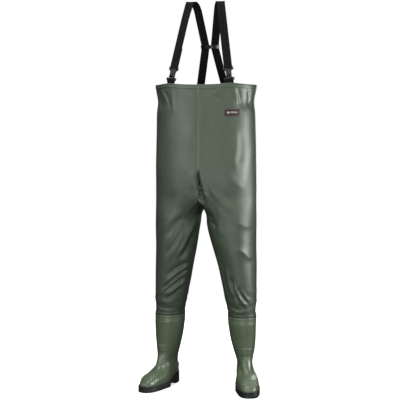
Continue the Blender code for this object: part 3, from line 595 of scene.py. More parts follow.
BACK_FOLDS = (
    (((-0.075, 1.372), (-0.082, 1.31), (-0.104, 1.23)), 0.01, 0.0045),
    (((0.075, 1.372), (0.084, 1.3), (0.1, 1.22)), 0.01, 0.0045),
    (((-0.04, 1.372), (-0.044, 1.31), (-0.036, 1.24)), 0.009, -0.0035),
    (((0.042, 1.372), (0.04, 1.3), (0.046, 1.23)), 0.009, -0.0035),
    (((-0.15, 1.3), (-0.16, 1.18), (-0.15, 1.05)), 0.02, 0.0045),
    (((0.15, 1.28), (0.165, 1.16), (0.155, 1.04)), 0.02, 0.0045),
    (((-0.09, 1.15), (-0.085, 1.04), (-0.095, 0.94)), 0.018, -0.004),
    (((0.095, 1.16), (0.088, 1.05), (0.092, 0.95)), 0.018, -0.004),
    (((0.0, 1.04), (0.0, 0.95), (0.0, 0.85)), 0.016, -0.012),
    (((-0.03, 0.86), (-0.09, 0.905), (-0.16, 0.92)), 0.014, 0.0055),
    (((0.03, 0.86), (0.095, 0.9), (0.165, 0.925)), 0.014, 0.0055),
    (((-0.045, 0.82), (-0.11, 0.85), (-0.185, 0.85)), 0.013, -0.005),
    (((0.045, 0.82), (0.11, 0.845), (0.185, 0.855)), 0.013, -0.005),
    (((-0.06, 0.65), (-0.12, 0.62), (-0.19, 0.63)), 0.012, 0.006),
    (((-0.065, 0.615), (-0.12, 0.59), (-0.19, 0.6)), 0.01, -0.0055),
    (((-0.07, 0.58), (-0.13, 0.562), (-0.195, 0.572)), 0.011, 0.006),
    (((0.06, 0.655), (0.125, 0.628), (0.19, 0.64)), 0.012, 0.006),
    (((0.065, 0.62), (0.125, 0.596), (0.19, 0.602)), 0.01, -0.0055),
    (((0.072, 0.582), (0.13, 0.56), (0.196, 0.57)), 0.011, 0.006),
    (((-0.09, 0.47), (-0.15, 0.43), (-0.205, 0.44)), 0.01, 0.0055),
    (((-0.095, 0.43), (-0.15, 0.398), (-0.21, 0.405)), 0.008, -0.005),
    (((-0.11, 0.39), (-0.16, 0.368), (-0.215, 0.372)), 0.008, 0.005),
    (((0.09, 0.48), (0.15, 0.44), (0.205, 0.445)), 0.01, 0.0055),
    (((0.095, 0.44), (0.15, 0.404), (0.212, 0.41)), 0.008, -0.005),
    (((0.11, 0.392), (0.16, 0.37), (0.22, 0.376)), 0.008, 0.005),
)
FOLD_TAPER = 0.30  # a fold rises over this share of its length
FOLD_GAIN = 1.25
BACK_SHARE = 0.72  # the folds behind are softer than those in front
CRISP = 1.45  # 2 makes a fold a soft bell, and less gives it a sharper crest
SOFT_WAVES = 0.0020
SOFT_RIPPLES = 0.0014
CRUMPLE_Z = 0.50  # the cloth is crumpled below this height
CRUMPLE = 0.0026
BLOUSE_Z = 0.350  # the trouser bulges here, just above the boot
BLOUSE = 0.0012
PINCH_Z = 1.305  # the sides draw in here, below the hem
PINCH = 0.0065


def fold_relief(points, folds):
    """How far the folds of one face push the cloth out at each point."""
    flat = points[:, (0, 2)]
    relief = np.zeros(len(points))
    for route, width, height in folds:
        corners = np.array(route)
        steps = np.linalg.norm(np.diff(corners, axis=0), axis=1)
        along = np.concatenate([[0], np.cumsum(steps)]) / steps.sum()
        nearest = np.full(len(points), np.inf)
        place = np.zeros(len(points))
        for k, step in enumerate(steps):
            line = corners[k + 1] - corners[k]
            share = np.clip((flat - corners[k]) @ line / step**2, 0, 1)
            gap = np.linalg.norm(flat - corners[k] - share[:, None] * line, axis=1)
            closer = gap < nearest
            nearest[closer] = gap[closer]
            place[closer] = lerp(along[k], along[k + 1], share[closer])
        rise = ease(np.minimum(place, 1 - place) / FOLD_TAPER)
        relief += FOLD_GAIN * height * rise * np.exp(-((nearest / width) ** CRISP))
    return relief


def cloth_relief(points):
    """How far the cloth stands off its smooth form at each point of that form."""
    z = points[:, 2]
    front = ease((AXIS_Y - 0.02 - points[:, 1]) / 0.05)
    back = ease((points[:, 1] - AXIS_Y - 0.02) / 0.05)
    relief = front * fold_relief(points, FRONT_FOLDS) + BACK_SHARE * back * fold_relief(points, BACK_FOLDS)
    soft = SOFT_WAVES * smooth_noise(points, 7.0, 1, (1, 1, 0.45))
    soft = soft + SOFT_RIPPLES * smooth_noise(points, 19.0, 2, (1, 1, 0.5))
    crumple = ease((CRUMPLE_Z - z) / 0.12) * CRUMPLE * smooth_noise(points, 24.0, 3, (0.6, 0.6, 1.6))
    relief += soft * ease((HEM_Z + 0.01 - z) / 0.06) + crumple
    relief += BLOUSE * bell((z - BLOUSE_Z) / 0.013)
    relief -= PINCH * bell((z - PINCH_Z) / 0.036) * ease((np.abs(points[:, 0]) - 0.14) / 0.07)
    return relief * ease((z - CUFF_Z - 0.010) / 0.030)


FORK_DRIFT = 0.010  # the crotch hangs this far toward the wearer's right hand
FORK_DRIFT_Z = 0.74
FRONT_PULL_X = 0.145  # the braces pull on the hem here
BACK_PULL_X = 0.060
PULL_WIDTH = 0.045
HEM_LIFT = 0.0055


def hem_lift(points):
    """The hem rises a little where the braces pull on it."""
    pull = bell((np.abs(points[:, 0]) - FRONT_PULL_X) / PULL_WIDTH) * ease((AXIS_Y - points[:, 1]) / 0.06)
    pull += bell((np.abs(points[:, 0]) - BACK_PULL_X) / PULL_WIDTH) * ease((points[:, 1] - AXIS_Y) / 0.06)
    sag = 0.3 * bell(points[:, 0] / 0.05)
    return HEM_LIFT * (pull - sag) * ease((points[:, 2] - 1.26) / 0.117)


def settled(points):
    """Let the crotch hang to one side and the braces lift the hem."""
    moved = points.copy()
    moved[:, 0] -= FORK_DRIFT * bell((points[:, 2] - FORK_DRIFT_Z) / 0.13) * bell(points[:, 0] / 0.11)
    moved[:, 2] += hem_lift(points)
    return moved


def draped(points, normals, lift=0.0, side=0):
    """Points of the smooth form, moved to where the folded cloth lies, and `lift` above it."""
    folded = cloth_relief(points) * ease((normals[:, 2] + 0.65) / 0.45)  # none under the crotch
    moved = points + normals * (folded + lift)[:, None]
    if side:
        moved[:, 0] = side * np.maximum(side * moved[:, 0], HALF_SEAM)
    return settled(moved)


# ---------------------------------------------------------------- trousers and bib

OUT_COLUMNS = 104
IN_COLUMNS = 40
TORSO_ROWS = 96
LEG_ROWS = 120
CLOTH_THICK = 0.0011
FORK_LEAN = 0.16  # depth lost per metre of height where the legs part


def torso_form(phi, z):
    """Points of the bib and their outward normals; phi is 0 at the front and 90 degrees at +X."""
    wide, deep = column(TORSO, z, 1), column(TORSO, z, 2, FORK_LEAN)
    points = joined(wide * np.sin(phi), AXIS_Y - deep * np.cos(phi), z)
    normals = joined(np.sin(phi) / wide, -np.cos(phi) / deep, 0.0)
    return points, normals / np.linalg.norm(normals, axis=-1, keepdims=True)


def leg_form(psi, z):
    """Points of the right leg; psi is 0 at its front and 90 degrees on its outer side."""
    wide, deep = column(LEG, z, 2), column(LEG, z, 3, FORK_LEAN)
    turn = SPLAY * ease((SPLAY_FROM_Z - z) / (SPLAY_FROM_Z - BOOT_Z))
    x, y = wide * np.sin(psi), -deep * np.cos(psi)
    return joined(
        column(LEG, z, 1) + x * np.cos(turn) - y * np.sin(turn),
        AXIS_Y + x * np.sin(turn) + y * np.cos(turn),
        z,
    )


def leg_grid(rows):
    """Rings of the right leg from the fork, t = 0, to the cuff, t = 1."""
    t = np.asarray(rows)[:, None]
    roundness = ease(t / ROUND_BY)[..., None]
    share = np.linspace(0, 1, OUT_COLUMNS + 1)[None, :]
    z = FORK_Z + (CUFF_Z - FORK_Z) * t + 0 * share
    hip = torso_form(math.pi * share, np.full(z.shape, FORK_Z))[0]
    hip[..., 0] = np.maximum(hip[..., 0], HALF_SEAM)
    hip[..., 1] = AXIS_Y + (hip[..., 1] - AXIS_Y) * column(LEG, z, 3, FORK_LEAN) / LEG[0][3]
    hip[..., 2] = z
    outer = lerp(hip, leg_form((math.pi + 2 * INNER_WRAP) * share - INNER_WRAP, z), roundness)
    share = np.arange(1, IN_COLUMNS)[None, :] / IN_COLUMNS
    top = FORK_Z - (FORK_Z - CROTCH_Z) * np.sin(math.pi * share) ** 0.7
    z = top + (CUFF_Z - top) * t
    deep = column(LEG, z, 3, FORK_LEAN)
    hip = joined(HALF_SEAM + CROTCH_SLOPE * (top - z), AXIS_Y + deep * np.cos(math.pi * share), z)
    inner = lerp(hip, leg_form(math.pi + INNER_WRAP + (math.pi - 2 * INNER_WRAP) * share, z), roundness)
    return np.concatenate([outer, inner], axis=1)


def body_panel(name, side, node):
    share = np.linspace(0, 1, OUT_COLUMNS + 1)[None, :]
    z = np.linspace(HEM_Z, FORK_Z, TORSO_ROWS)[:-1, None]
    torso = torso_form(math.pi * share, z)[0]
    torso[..., 0] = np.maximum(torso[..., 0], HALF_SEAM)
    leg = leg_grid(np.linspace(0, 1, LEG_ROWS))
    points = np.concatenate([torso.reshape(-1, 3), leg.reshape(-1, 3)])
    points[:, 0] *= side
    count = torso.shape[0] * torso.shape[1]
    torso_rows = np.arange(count).reshape(torso.shape[:2]).tolist()
    leg_rows = (np.arange(leg.shape[0] * leg.shape[1]) + count).reshape(leg.shape[:2]).tolist()
    faces = strip_faces(torso_rows + [leg_rows[0][: OUT_COLUMNS + 1]]) + strip_faces(leg_rows, around=True)
    made = mesh_object(name, points, faces, [CLOTH, BACKING], flip=side < 0, crease=180)
    normals = normals_of(made)
    at_seam = np.abs(points[:, 0]) < HALF_SEAM + 1e-5
    normals[at_seam, 0] = 0
    set_points(made, draped(points, normals, side=side))
    thicken(made, CLOTH_THICK, inner_look=1)
    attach(made, "garment")
    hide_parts(node)
    return made


def on_bib(name, phi, z, lift, thickness, looks, node=None, relief=None):
    """A patch that lies on the folded bib, between two angles and two heights."""
    angles, heights = np.meshgrid(phi, z)
    points, normals = torso_form(angles, heights)
    extra = lift + (0.0 if relief is None else relief(angles, heights).ravel())
    moved = draped(points.reshape(-1, 3), normals.reshape(-1, 3), extra)
    made = sheet(name, moved.reshape(points.shape), looks)
    thicken(made, thickness, offset=1.0)
    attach(made, "garment")
    if node:
        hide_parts(node)
    return made


TAPE_HALF = 0.0055
BEAD_HALF = 0.0009  # half width of the weld bead down the middle of a tape
BEAD_HIGH = 0.0013
BEAD_FOOT = 0.975  # below this the seam sinks into its crease
ON_CLOTH = 0.0003


def seam_tape(name, phi_middle, node):
    reach = TAPE_HALF / column(TORSO, HEM_Z, 1)
    phi = phi_middle + np.linspace(-reach, reach, 11)
    z = np.linspace(HEM_Z - 0.002, FORK_Z + 0.006, 150)

    made = on_bib(name, phi, z, ON_CLOTH, 0.0005, [TAPE_LOOK], node)
    narrow = BEAD_HALF / column(TORSO, HEM_Z, 1)

    def crown(angles, heights):
        return BEAD_HIGH * np.sqrt(np.clip(1 - ((angles - phi_middle) / narrow) ** 2, 0, 1))

    angles = phi_middle + narrow * np.sin(np.linspace(-math.pi / 2, math.pi / 2, 9))
    z = z[z > BEAD_FOOT]
    # the bead's paler colour is a painted highlight along the seam's ridge
    made = on_bib(name + "_bead", angles, z, ON_CLOTH + 0.0002, 0.0004, [BEAD_HIGHLIGHT_LOOK], relief=crown)


HEM_COLUMNS = 260


def hem_band():
    """A welded band round the hem, and the piping along its top edge, coloured paler as a painted highlight.
    """
    count = HEM_COLUMNS
    phi = np.linspace(0, 2 * math.pi, count, endpoint=False)
    # distance off the cloth and height, down the outside of the band's profile
    piping = [(-0.0016, 0.0000)]
    for a in np.linspace(2.4, -1.5, 10):
        piping.append((0.0004 + 0.0019 * math.cos(a), 0.0006 + 0.0017 * math.sin(a)))
    band = [(0.0009, -0.0012), (0.0008, -0.0030), (0.0008, -0.0090), (0.0011, -0.0135)]
    band += [(0.0010, -0.0155), (0.0002, -0.0160)]
    for name, profile, look in (("hem_piping", piping, BEAD_HIGHLIGHT_LOOK), ("hem_band_welded", band, TAPE_LOOK)):
        rings = []
        for off, rise in profile:
            points, normals = torso_form(phi, np.full(count, HEM_Z + min(rise, 0)))
            moved = draped(points, normals, off + ON_CLOTH)
            moved[:, 2] += max(rise, 0)
            rings.append(moved)
        made = sheet(name, np.array(rings), [look], around=True)
        thicken(made, 0.0005)
        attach(made, "garment")
    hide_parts("hem_band")


GUSSET_FROM = 11  # columns of the crotch left bare before and behind the gusset
GUSSET_WINGS = 8  # rows on each side of the middle
GUSSET_REACH = 0.10  # share of the leg's length that it covers
GUSSET_OFF = 0.0013
GUSSET_SAG = 0.0030


def crotch_gusset():
    """The saddle of welded tape under the crotch, in a darker cloth colour that paints the shade there."""
    columns = np.arange(GUSSET_FROM, IN_COLUMNS + 1 - GUSSET_FROM)
    reach = GUSSET_REACH * (0.4 + 0.6 * np.sin(math.pi * columns / IN_COLUMNS))
    rows = []
    for w in range(-GUSSET_WINGS, GUSSET_WINGS + 1):
        share = abs(w) / GUSSET_WINGS
        ring = np.array([leg_grid([r * share])[0, OUT_COLUMNS + k] for r, k in zip(reach, columns)])
        if w:
            ring[:, 0] = np.sign(w) * np.maximum(ring[:, 0] - GUSSET_OFF, ON_CLOTH)
        else:
            ring[:, 0] = 0
            ring[:, 2] -= GUSSET_SAG
        rows.append(settled(ring))
    made = sheet("crotch_gusset_welded", np.array(rows).transpose(1, 0, 2), [SHADED_BAND_LOOK])
    thicken(made, 0.0008, offset=0)
    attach(made, "garment")
    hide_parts("crotch_gusset")


# height and distance off the leg, up the outside of the band that is welded over the top of each boot
CUFF_BAND = (
    (0.3290, 0.0022), (0.3300, 0.0038), (0.3345, 0.0043),
    (0.3400, 0.0041), (0.3440, 0.0036), (0.3452, 0.0018),
)


def cuff_band(name, side):
    psi = np.linspace(0, 2 * math.pi, 120, endpoint=False)
    rings = []
    for z, off in CUFF_BAND:
        ring = leg_form(psi, np.full(len(psi), z))
        out = ring - (column(LEG, z, 1), AXIS_Y, z)
        wrinkle = 0.0007 * smooth_noise(ring, 30.0, 11)
        ring += out / np.linalg.norm(out, axis=1, keepdims=True) * (off + wrinkle)[:, None]
        ring[:, 0] *= side
        rings.append(ring)
    # the band's darker colour paints the shade where the trouser meets the boot top
    made = sheet(name, np.array(rings), [SHADED_BAND_LOOK], around=True, flip=side > 0)
    thicken(made, 0.0008)
    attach(made, "garment")


for side_name, side in SIDES:
    body_panel(side_name + "_coated_panel", side, side_name + "_body_panel")
    cuff_band(side_name + "_cuff_band", side)
seam_tape("front_tape_welded", 0.0, "front_seam_tape")
seam_tape("back_tape_welded", math.pi, "back_seam_tape")
hem_band()
crotch_gusset()

# ---------------------------------------------------------------- label

OUTLINE_STEP = 0.003


def rounded_outline(half_x, half_z, radius, steps=6):
    """A rectangle with round corners about the origin, counter-clockwise, in short steps."""
    points = []
    for quarter, (sx, sz) in enumerate(((1, 1), (-1, 1), (-1, -1), (1, -1))):
        for angle in np.linspace(0, math.pi / 2, steps) + quarter * math.pi / 2:
            points.append((
                sx * (half_x - radius) + radius * math.cos(angle),
                sz * (half_z - radius) + radius * math.sin(angle),
            ))
    outline = []
    for (ax, az), (bx, bz) in zip(points, points[1:] + points[:1]):
        count = max(1, round(math.hypot(bx - ax, bz - az) / OUTLINE_STEP))
        outline += [(lerp(ax, bx, k / count), lerp(az, bz, k / count)) for k in range(count)]
    return outline


LABEL_AT = (0.146, 1.254)
LABEL_HALF = (0.0362, 0.0157)
# centre from the label's middle, half size, corner radius, thickness, lift and material of each raised mark
LABEL_MARKS = (
    ("label_border", (0.0, 0.0), (0.0345, 0.0140), 0.0040, 0.0004, 0.0012, LABEL_RED),
    ("label_field", (0.0, 0.0), (0.0330, 0.0125), 0.0034, 0.0004, 0.0014, LABEL_BLACK),
    ("label_bar", (0.006, 0.0018), (0.0170, 0.0026), 0.0018, 0.0004, 0.0018, LABEL_PALE),
    ("label_line", (0.006, -0.0050), (0.0170, 0.0011), 0.0008, 0.0004, 0.0018, LABEL_RED),
    ("label_disc", (-0.0200, -0.0005), (0.0060, 0.0060), 0.0059, 0.0004, 0.0018, LABEL_PALE),
)


def label_piece(name, centre, half, radius, thickness, lift, look):
    """A flat rounded piece laid on the folded bib, filled by rings that shrink to its middle."""
    outline = np.array(rounded_outline(*half, radius))
    middle = math.asin(LABEL_AT[0] / column(TORSO, LABEL_AT[1], 1))
    wide, deep = column(TORSO, LABEL_AT[1], 1), column(TORSO, LABEL_AT[1], 2)
    speed = math.hypot(wide * math.cos(middle), deep * math.sin(middle))
    rings = []
    for share in (1.0, 0.93, 0.8, 0.6, 0.4, 0.2, 0.02):
        flat = outline * share + centre
        points, normals = torso_form(middle + flat[:, 0] / speed, LABEL_AT[1] + flat[:, 1])
        edge = 0.0003 if share == 1.0 else 0.0
        rings.append(draped(points, normals, ON_CLOTH + lift - edge))
    made = sheet(name, np.array(rings), [look], around=True, flip=True)
    thicken(made, thickness)
    return made


def label():
    base = label_piece("label_patch_raised", (0, 0), LABEL_HALF, 0.0050, 0.0010, 0.0010, LABEL_BLACK)
    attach(base, "garment")
    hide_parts("label_patch")
    for name, centre, half, radius, thickness, lift, look in LABEL_MARKS:
        mark = label_piece(name, centre, half, radius, thickness, lift, look)
        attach(mark, "garment")


label()

# ---------------------------------------------------------------- boots

BOOT_COLUMNS = 168
BOOT_ROWS = 150


def along(stations, u, index):
    """One column of a table read at fractional row numbers u, along a smooth curve."""
    values = np.array(stations, float)[:, index]
    slopes = np.gradient(values)
    k = np.clip(np.floor(u).astype(int), 0, len(values) - 2)
    t = u - k
    a, b, da, db = values[k], values[k + 1], slopes[k], slopes[k + 1]
    return a + da * t + (3 * (b - a) - 2 * da - db) * t**2 + (2 * (a - b) + da + db) * t**3


def floor_lift(y):
    return HEEL_LIFT * ease((y - BALL_Y) / 0.10)


def foot_outline(z, front, back, half, foot, angle, grow=0.0):
    """Outlines of the right boot in its own frame, with the toe toward -Y; angle is 0 at the toe."""
    front, back, half = front - grow, back + grow, half + grow
    middle, reach = (front + back) / 2, (back - front) / 2
    settle = 1 - np.clip((z - FLOOR_Z) / INSTEP_Z, 0, 1)
    y = middle - reach * np.cos(angle)
    bulge = np.abs(np.sin(angle)) ** (1 - TOE_BLUNT * foot)
    narrow = 1 - HEEL_NARROW * foot * ease((y + 0.085) / 0.11)
    x = np.sign(np.sin(angle)) * half * bulge * narrow - TOE_INWARD * foot * ease((-y - 0.09) / 0.12)
    return joined(x, y, z + floor_lift(y) * settle)


def round_angles(count):
    """Angles round a foot's outline, closer together at the toe and the heel."""
    even = np.linspace(0, 2 * math.pi, count, endpoint=False)
    return even - 0.3 * np.sin(2 * even)


def boot_matrix(side):
    return Matrix.Translation((side * ANKLE_X, AXIS_Y, 0)) @ Matrix.Rotation(side * SPLAY, 4, "Z")


def set_in_place(points, side):
    """Mirror points of the right boot for the left one, lean the shaft in and put it on its foot."""
    lean = BOOT_LEAN * ease((points[:, 2] - LEAN_FROM_Z) / (BOOT_Z - LEAN_FROM_Z))
    turn = -side * SPLAY
    moved = points.copy()
    moved[:, 0] = side * points[:, 0] - side * lean * math.cos(turn)
    moved[:, 1] -= side * lean * math.sin(turn)
    place = np.array(boot_matrix(side))
    return moved @ place[:3, :3].T + place[:3, 3]


COLLAR_LINES = (0.3005, 0.2930)
ANKLE_RIBS = (0.166, 0.1728, 0.1796, 0.1864)
TOE_RIBS = (-0.150, -0.1645, -0.179)
HEEL_RIBS = (0.073, 0.0835, 0.094)
# how far each kind of moulded detail stands off the wall
RIM_BEAD = 0.0005
COLLAR_HIGH = 0.0009
ANKLE_RIB_HIGH = 0.0026
ANKLE_RIB_DIP = 0.006  # the ribs sink at the sides
TOE_RIB_HIGH = 0.0027
TOE_CAP_HIGH = 0.0024
INSTEP_HOLLOW = 0.0095
COUNTER_HIGH = 0.0014
HEEL_RIB_HIGH = 0.0024
SPUR_HIGH = 0.0045  # the ledge at the heel for pulling the boot off
SHAFT_WAVES = 0.0016
CREASE_WAVES = 0.0012


def boot_relief(points, angle):
    """Moulded detail: how far the boot's wall stands off its smooth form."""
    x, y, z = points.T
    turned = np.abs((angle + math.pi) % (2 * math.pi) - math.pi)
    relief = RIM_BEAD * bell((z - BOOT_Z + 0.0045) / 0.0040)
    for line in COLLAR_LINES:
        relief += COLLAR_HIGH * bell((z - line) / 0.0015)
    at_front = bell(turned / 0.62)
    dip = ANKLE_RIB_DIP * turned**2
    for rib in ANKLE_RIBS:
        relief += ANKLE_RIB_HIGH * bell((z - rib + dip) / 0.0021) * at_front
    on_top = ease((z - 0.036) / 0.018) * ease((0.100 - z) / 0.02)
    for rib in TOE_RIBS:
        bowed = y - rib - 0.20 * (x + TOE_INWARD) ** 2 / 0.05
        relief += TOE_RIB_HIGH * bell(bowed / 0.0032) * on_top
    relief += TOE_CAP_HIGH * ease((-0.186 - y) / 0.006) * on_top
    relief -= INSTEP_HOLLOW * bell((z - 0.088) / 0.020) * ease((1.35 - turned) / 0.5)
    at_heel = ease((turned - 1.75) / 0.25)
    shell_top = 0.104 + 0.004 * np.cos(9 * turned)
    relief += COUNTER_HIGH * at_heel * ease((shell_top - z) / 0.004)
    for rib in HEEL_RIBS:
        relief += HEEL_RIB_HIGH * bell((z - rib) / 0.0026) * at_heel
    relief += SPUR_HIGH * bell((z - 0.0835) / 0.0085) * ease((turned - 2.55) / 0.35)
    shaft = ease((z - 0.10) / 0.03) * ease((BOOT_Z - 0.010 - z) / 0.02)
    relief += SHAFT_WAVES * shaft * smooth_noise(points, 16.0, 7, (1, 1, 0.45))
    creases = ease((z - 0.085) / 0.02) * ease((0.170 - z) / 0.03)
    relief += CREASE_WAVES * creases * smooth_noise(points, 26.0, 8, (0.8, 0.8, 1.3))
    return relief


def boot_upper(name, side, node):
    u = np.linspace(0, len(BOOT_RINGS) - 1, BOOT_ROWS)[:, None]
    angle = round_angles(BOOT_COLUMNS)[None, :]
    rings = foot_outline(*(along(BOOT_RINGS, u, c) for c in range(5)), angle)
    last = rings[-1]
    centre = last * (0.0, 1.0, 1.0)
    floor = [lerp(last, centre, share) - (0, 0, 0.0002) for share in (0.15, 0.4, 0.7, 0.97)]
    grid = np.concatenate([rings, floor])
    made = sheet(name, grid, [BOOT, BACKING], around=True)
    points, normals = points_of(made), normals_of(made)
    relief = boot_relief(points, np.broadcast_to(angle, grid.shape[:2]).ravel())
    keep = ease((points[:, 2] - floor_lift(points[:, 1]) - 0.026) / 0.006)
    points = set_in_place(points + normals * (relief * keep)[:, None], side)
    set_points(made, points)
    if side < 0:
        made.data.flip_normals()
    thicken(made, BOOT_WALL - 0.0004, inner_look=1)
    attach(made, "garment")
    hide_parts(node)


def sole_outline(angle, above, grow, flat=False, rise=0.0):
    """A ring of the outsole, `above` the foot's floor; a flat one lies `above` the ground."""
    one = np.ones_like(angle)
    ring = foot_outline(FLOOR_Z * one, TOE_Y * one, HEEL_Y * one, FOOT_HALF_WIDTH * one, one, angle, grow)
    lifted = ring[:, 2] + above + rise * ease((ring[:, 1] + 0.06) / 0.10)
    ring[:, 2] = above if flat else lifted
    return ring


SOLE_COLUMNS = 132
RIM_ROUND = 0.0015
FOOT_ROUND = 0.0018
SIDE_LINES = (0.34, 0.62)  # grooves round the sole's side, as shares of its height


def outsole(name, side, node):
    """The sole: a rim that holds the foot, a grooved side, lugs under the ball and a heel block."""
    angle = round_angles(SOLE_COLUMNS)
    rings = [
        sole_outline(angle, -0.0006, WALL_IN),
        sole_outline(angle, RIM_FRONT - 0.001, WALL_IN, rise=RIM_HEEL_RISE),
    ]
    for a in np.linspace(0, math.pi / 2, 4):
        grow = OUTSOLE_GROW - RIM_ROUND + RIM_ROUND * math.sin(a)
        above = RIM_FRONT - RIM_ROUND + RIM_ROUND * math.cos(a)
        rings.append(sole_outline(angle, above, grow, rise=RIM_HEEL_RISE))
    top, foot = rings[-1], sole_outline(angle, 0.0, OUTSOLE_GROW, flat=True)
    inward = sole_outline(angle, 0.0, OUTSOLE_GROW - 0.0011, flat=True) - foot
    for share in np.linspace(0, 1, 34)[1:-3]:
        dent = sum(bell((share - line) / 0.030) for line in SIDE_LINES)
        between = SIDE_LINES[0] + 0.05 < share < SIDE_LINES[1] - 0.05
        serration = 0.35 * ((np.arange(len(angle)) % 4) < 2) * between
        rings.append(lerp(top, foot, share) + inward * (dent + serration)[:, None] * (1, 1, 0))
    for a in np.linspace(0, math.pi / 2, 4):
        grow = OUTSOLE_GROW - FOOT_ROUND + FOOT_ROUND * math.cos(a)
        rings.append(sole_outline(angle, FOOT_ROUND - FOOT_ROUND * math.sin(a), grow, flat=True))
    count = len(angle)
    numbers = np.arange(len(rings) * count).reshape(len(rings), count)
    faces = strip_faces(numbers.tolist(), around=True)
    for ring, back in ((numbers[0], True), (numbers[-1], False)):
        for i in range(count // 2):
            quad = (ring[i], ring[i + 1], ring[(count - i - 1) % count], ring[(count - i) % count])
            face = tuple(int(v) for k, v in enumerate(quad) if v not in quad[:k])
            faces.append(face if back else face[::-1])
    made = mesh_object(name, np.concatenate(rings), faces, [SOLE], crease=35)
    cut_tread(made)
    set_points(made, set_in_place(points_of(made), side))
    if side < 0:
        made.data.flip_normals()
    made.data.shade_smooth()
    made.data.set_sharp_from_angle(angle=math.radians(35))
    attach(made, "garment")
    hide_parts(node)


def tread_cutter(name, boxes):
    """Boxes turned about Z, each as centre, half size and turn in degrees, joined into one cutter."""
    bm = bmesh.new()
    for centre, half, turn in boxes:
        place = Matrix.Translation(centre) @ Matrix.Rotation(math.radians(turn), 4, "Z")
        bmesh.ops.create_cube(bm, size=2, matrix=place @ Matrix.Diagonal((*half, 1)))
    mesh = bpy.data.meshes.new(name)
    bm.to_mesh(mesh)
    bm.free()
    made = bpy.data.objects.new(name, mesh)
    bpy.context.scene.collection.objects.link(made)
    return made


GROOVE_HALF = 0.0021
GROOVE_DEEP = 0.0042


def cut_tread(made):
    """Cut the arch, the chevron grooves between the lugs and a groove down the middle."""
    wide = 0.08
    arch_middle, arch_half = (ARCH_Y[0] + ARCH_Y[1]) / 2, (ARCH_Y[1] - ARCH_Y[0]) / 2
    groups = [[((0, arch_middle, 0), (wide, arch_half, ARCH_DEPTH), 0)]]
    for hand in (1, -1):
        chevrons = []
        for start, end, count in ((TOE_Y, ARCH_Y[0], 7), (ARCH_Y[1], HEEL_Y, 3)):
            for i in range(count):
                y = lerp(start, end, (i + 0.85) / (count + 0.5))
                chevrons.append(((hand * 0.038, y + 0.006, 0), (0.036, GROOVE_HALF, GROOVE_DEEP), hand * 12))
        groups.append(chevrons)
    groups.append([((-0.004, -0.075, 0), (GROOVE_HALF, 0.125, GROOVE_DEEP), 0)])
    cutters = []
    for k, group in enumerate(groups):
        cutters.append(tread_cutter(f"{made.name}_tread_{k}", group))
        boolean = made.modifiers.new("tread", "BOOLEAN")
        boolean.operation = "DIFFERENCE"
        boolean.solver = "MANIFOLD"
        boolean.object = cutters[-1]
    shaped = made.evaluated_get(bpy.context.evaluated_depsgraph_get())
    made.data = bpy.data.meshes.new_from_object(shaped)
    made.modifiers.clear()
    for cutter in cutters:
        bpy.data.objects.remove(cutter)


for side_name, side in SIDES:
    boot_upper(side_name + "_boot_moulded", side, side_name + "_boot_upper")
    outsole(side_name + "_sole_lugged", side, side_name + "_boot_outsole")

# ---------------------------------------------------------------- braces

LOOP = 0.00305  # from the middle of a bar to the webbing round it
LOOP_DOWN = 0.0034
BEND_BEFORE = 0.035
KEEPER_RUN = 0.012
SOCKET_BAR = (0.0275, 0.0310)
BASE_BAR = (-0.0315, -0.0285)
TAB_HEM = Vector((0.1335, -0.1194, 1.3740))
TAB_END = Vector((0.1335, -0.1194, 1.3380))
TAB_CLEAR = 0.0030
TAB_YAW = math.radians(25)
TAB_SPREAD = 0.0011


def on_axis(point):
    return Vector((point.x, point.y + AXIS_Y, point.z))


def buckle_frame():
    """The right buckle's frame: X across the webbing, Z up along the brace, -Y outward."""
    up = (FRONT_HIGH - BUCKLE_AT).normalized()
    across = Vector((math.cos(BUCKLE_YAW), math.sin(BUCKLE_YAW), 0))
    across = (across - up * across.dot(up)).normalized()
    made = Matrix((across, up.cross(across), up)).transposed().to_4x4()
    made.translation = on_axis(BUCKLE_AT)
    return made


def yawed(angle):
    return Vector((math.cos(angle), math.sin(angle), 0))


def smooth_path(points, steps):
    """A Catmull-Rom curve through the inner points of the list."""
    path = []
    for a, b, c, d in zip(points, points[1:], points[2:], points[3:]):
        for i in range(steps):
            t = i / steps
            slope, bend, twist = c - a, 2 * a - 5 * b + 4 * c - d, 3 * b - a - 3 * c + d
            path.append(b + 0.5 * (slope * t + bend * t**2 + twist * t**3))
    path.append(points[-2].copy())
    return path


def directions(path):
    return [(path[min(i + 1, len(path) - 1)] - path[max(i - 1, 0)]).normalized() for i in range(len(path))]


def web_section(width, thickness, across=10):
    """A flat webbing's section: flat faces, round edges with a slight bead; as (across, off)."""
    half, r = width / 2, thickness / 2
    face = []
    for x in np.linspace(half - r, r - half, across):
        face.append((x, r * (1 + 0.16 * bell((abs(x) - half + 0.002) / 0.0012))))
    edge = [(-half + r - r * math.sin(a), r * math.cos(a)) for a in np.linspace(0, math.pi, 5)[1:-1]]
    return face + edge + [(-x, -y) for x, y in face + edge]


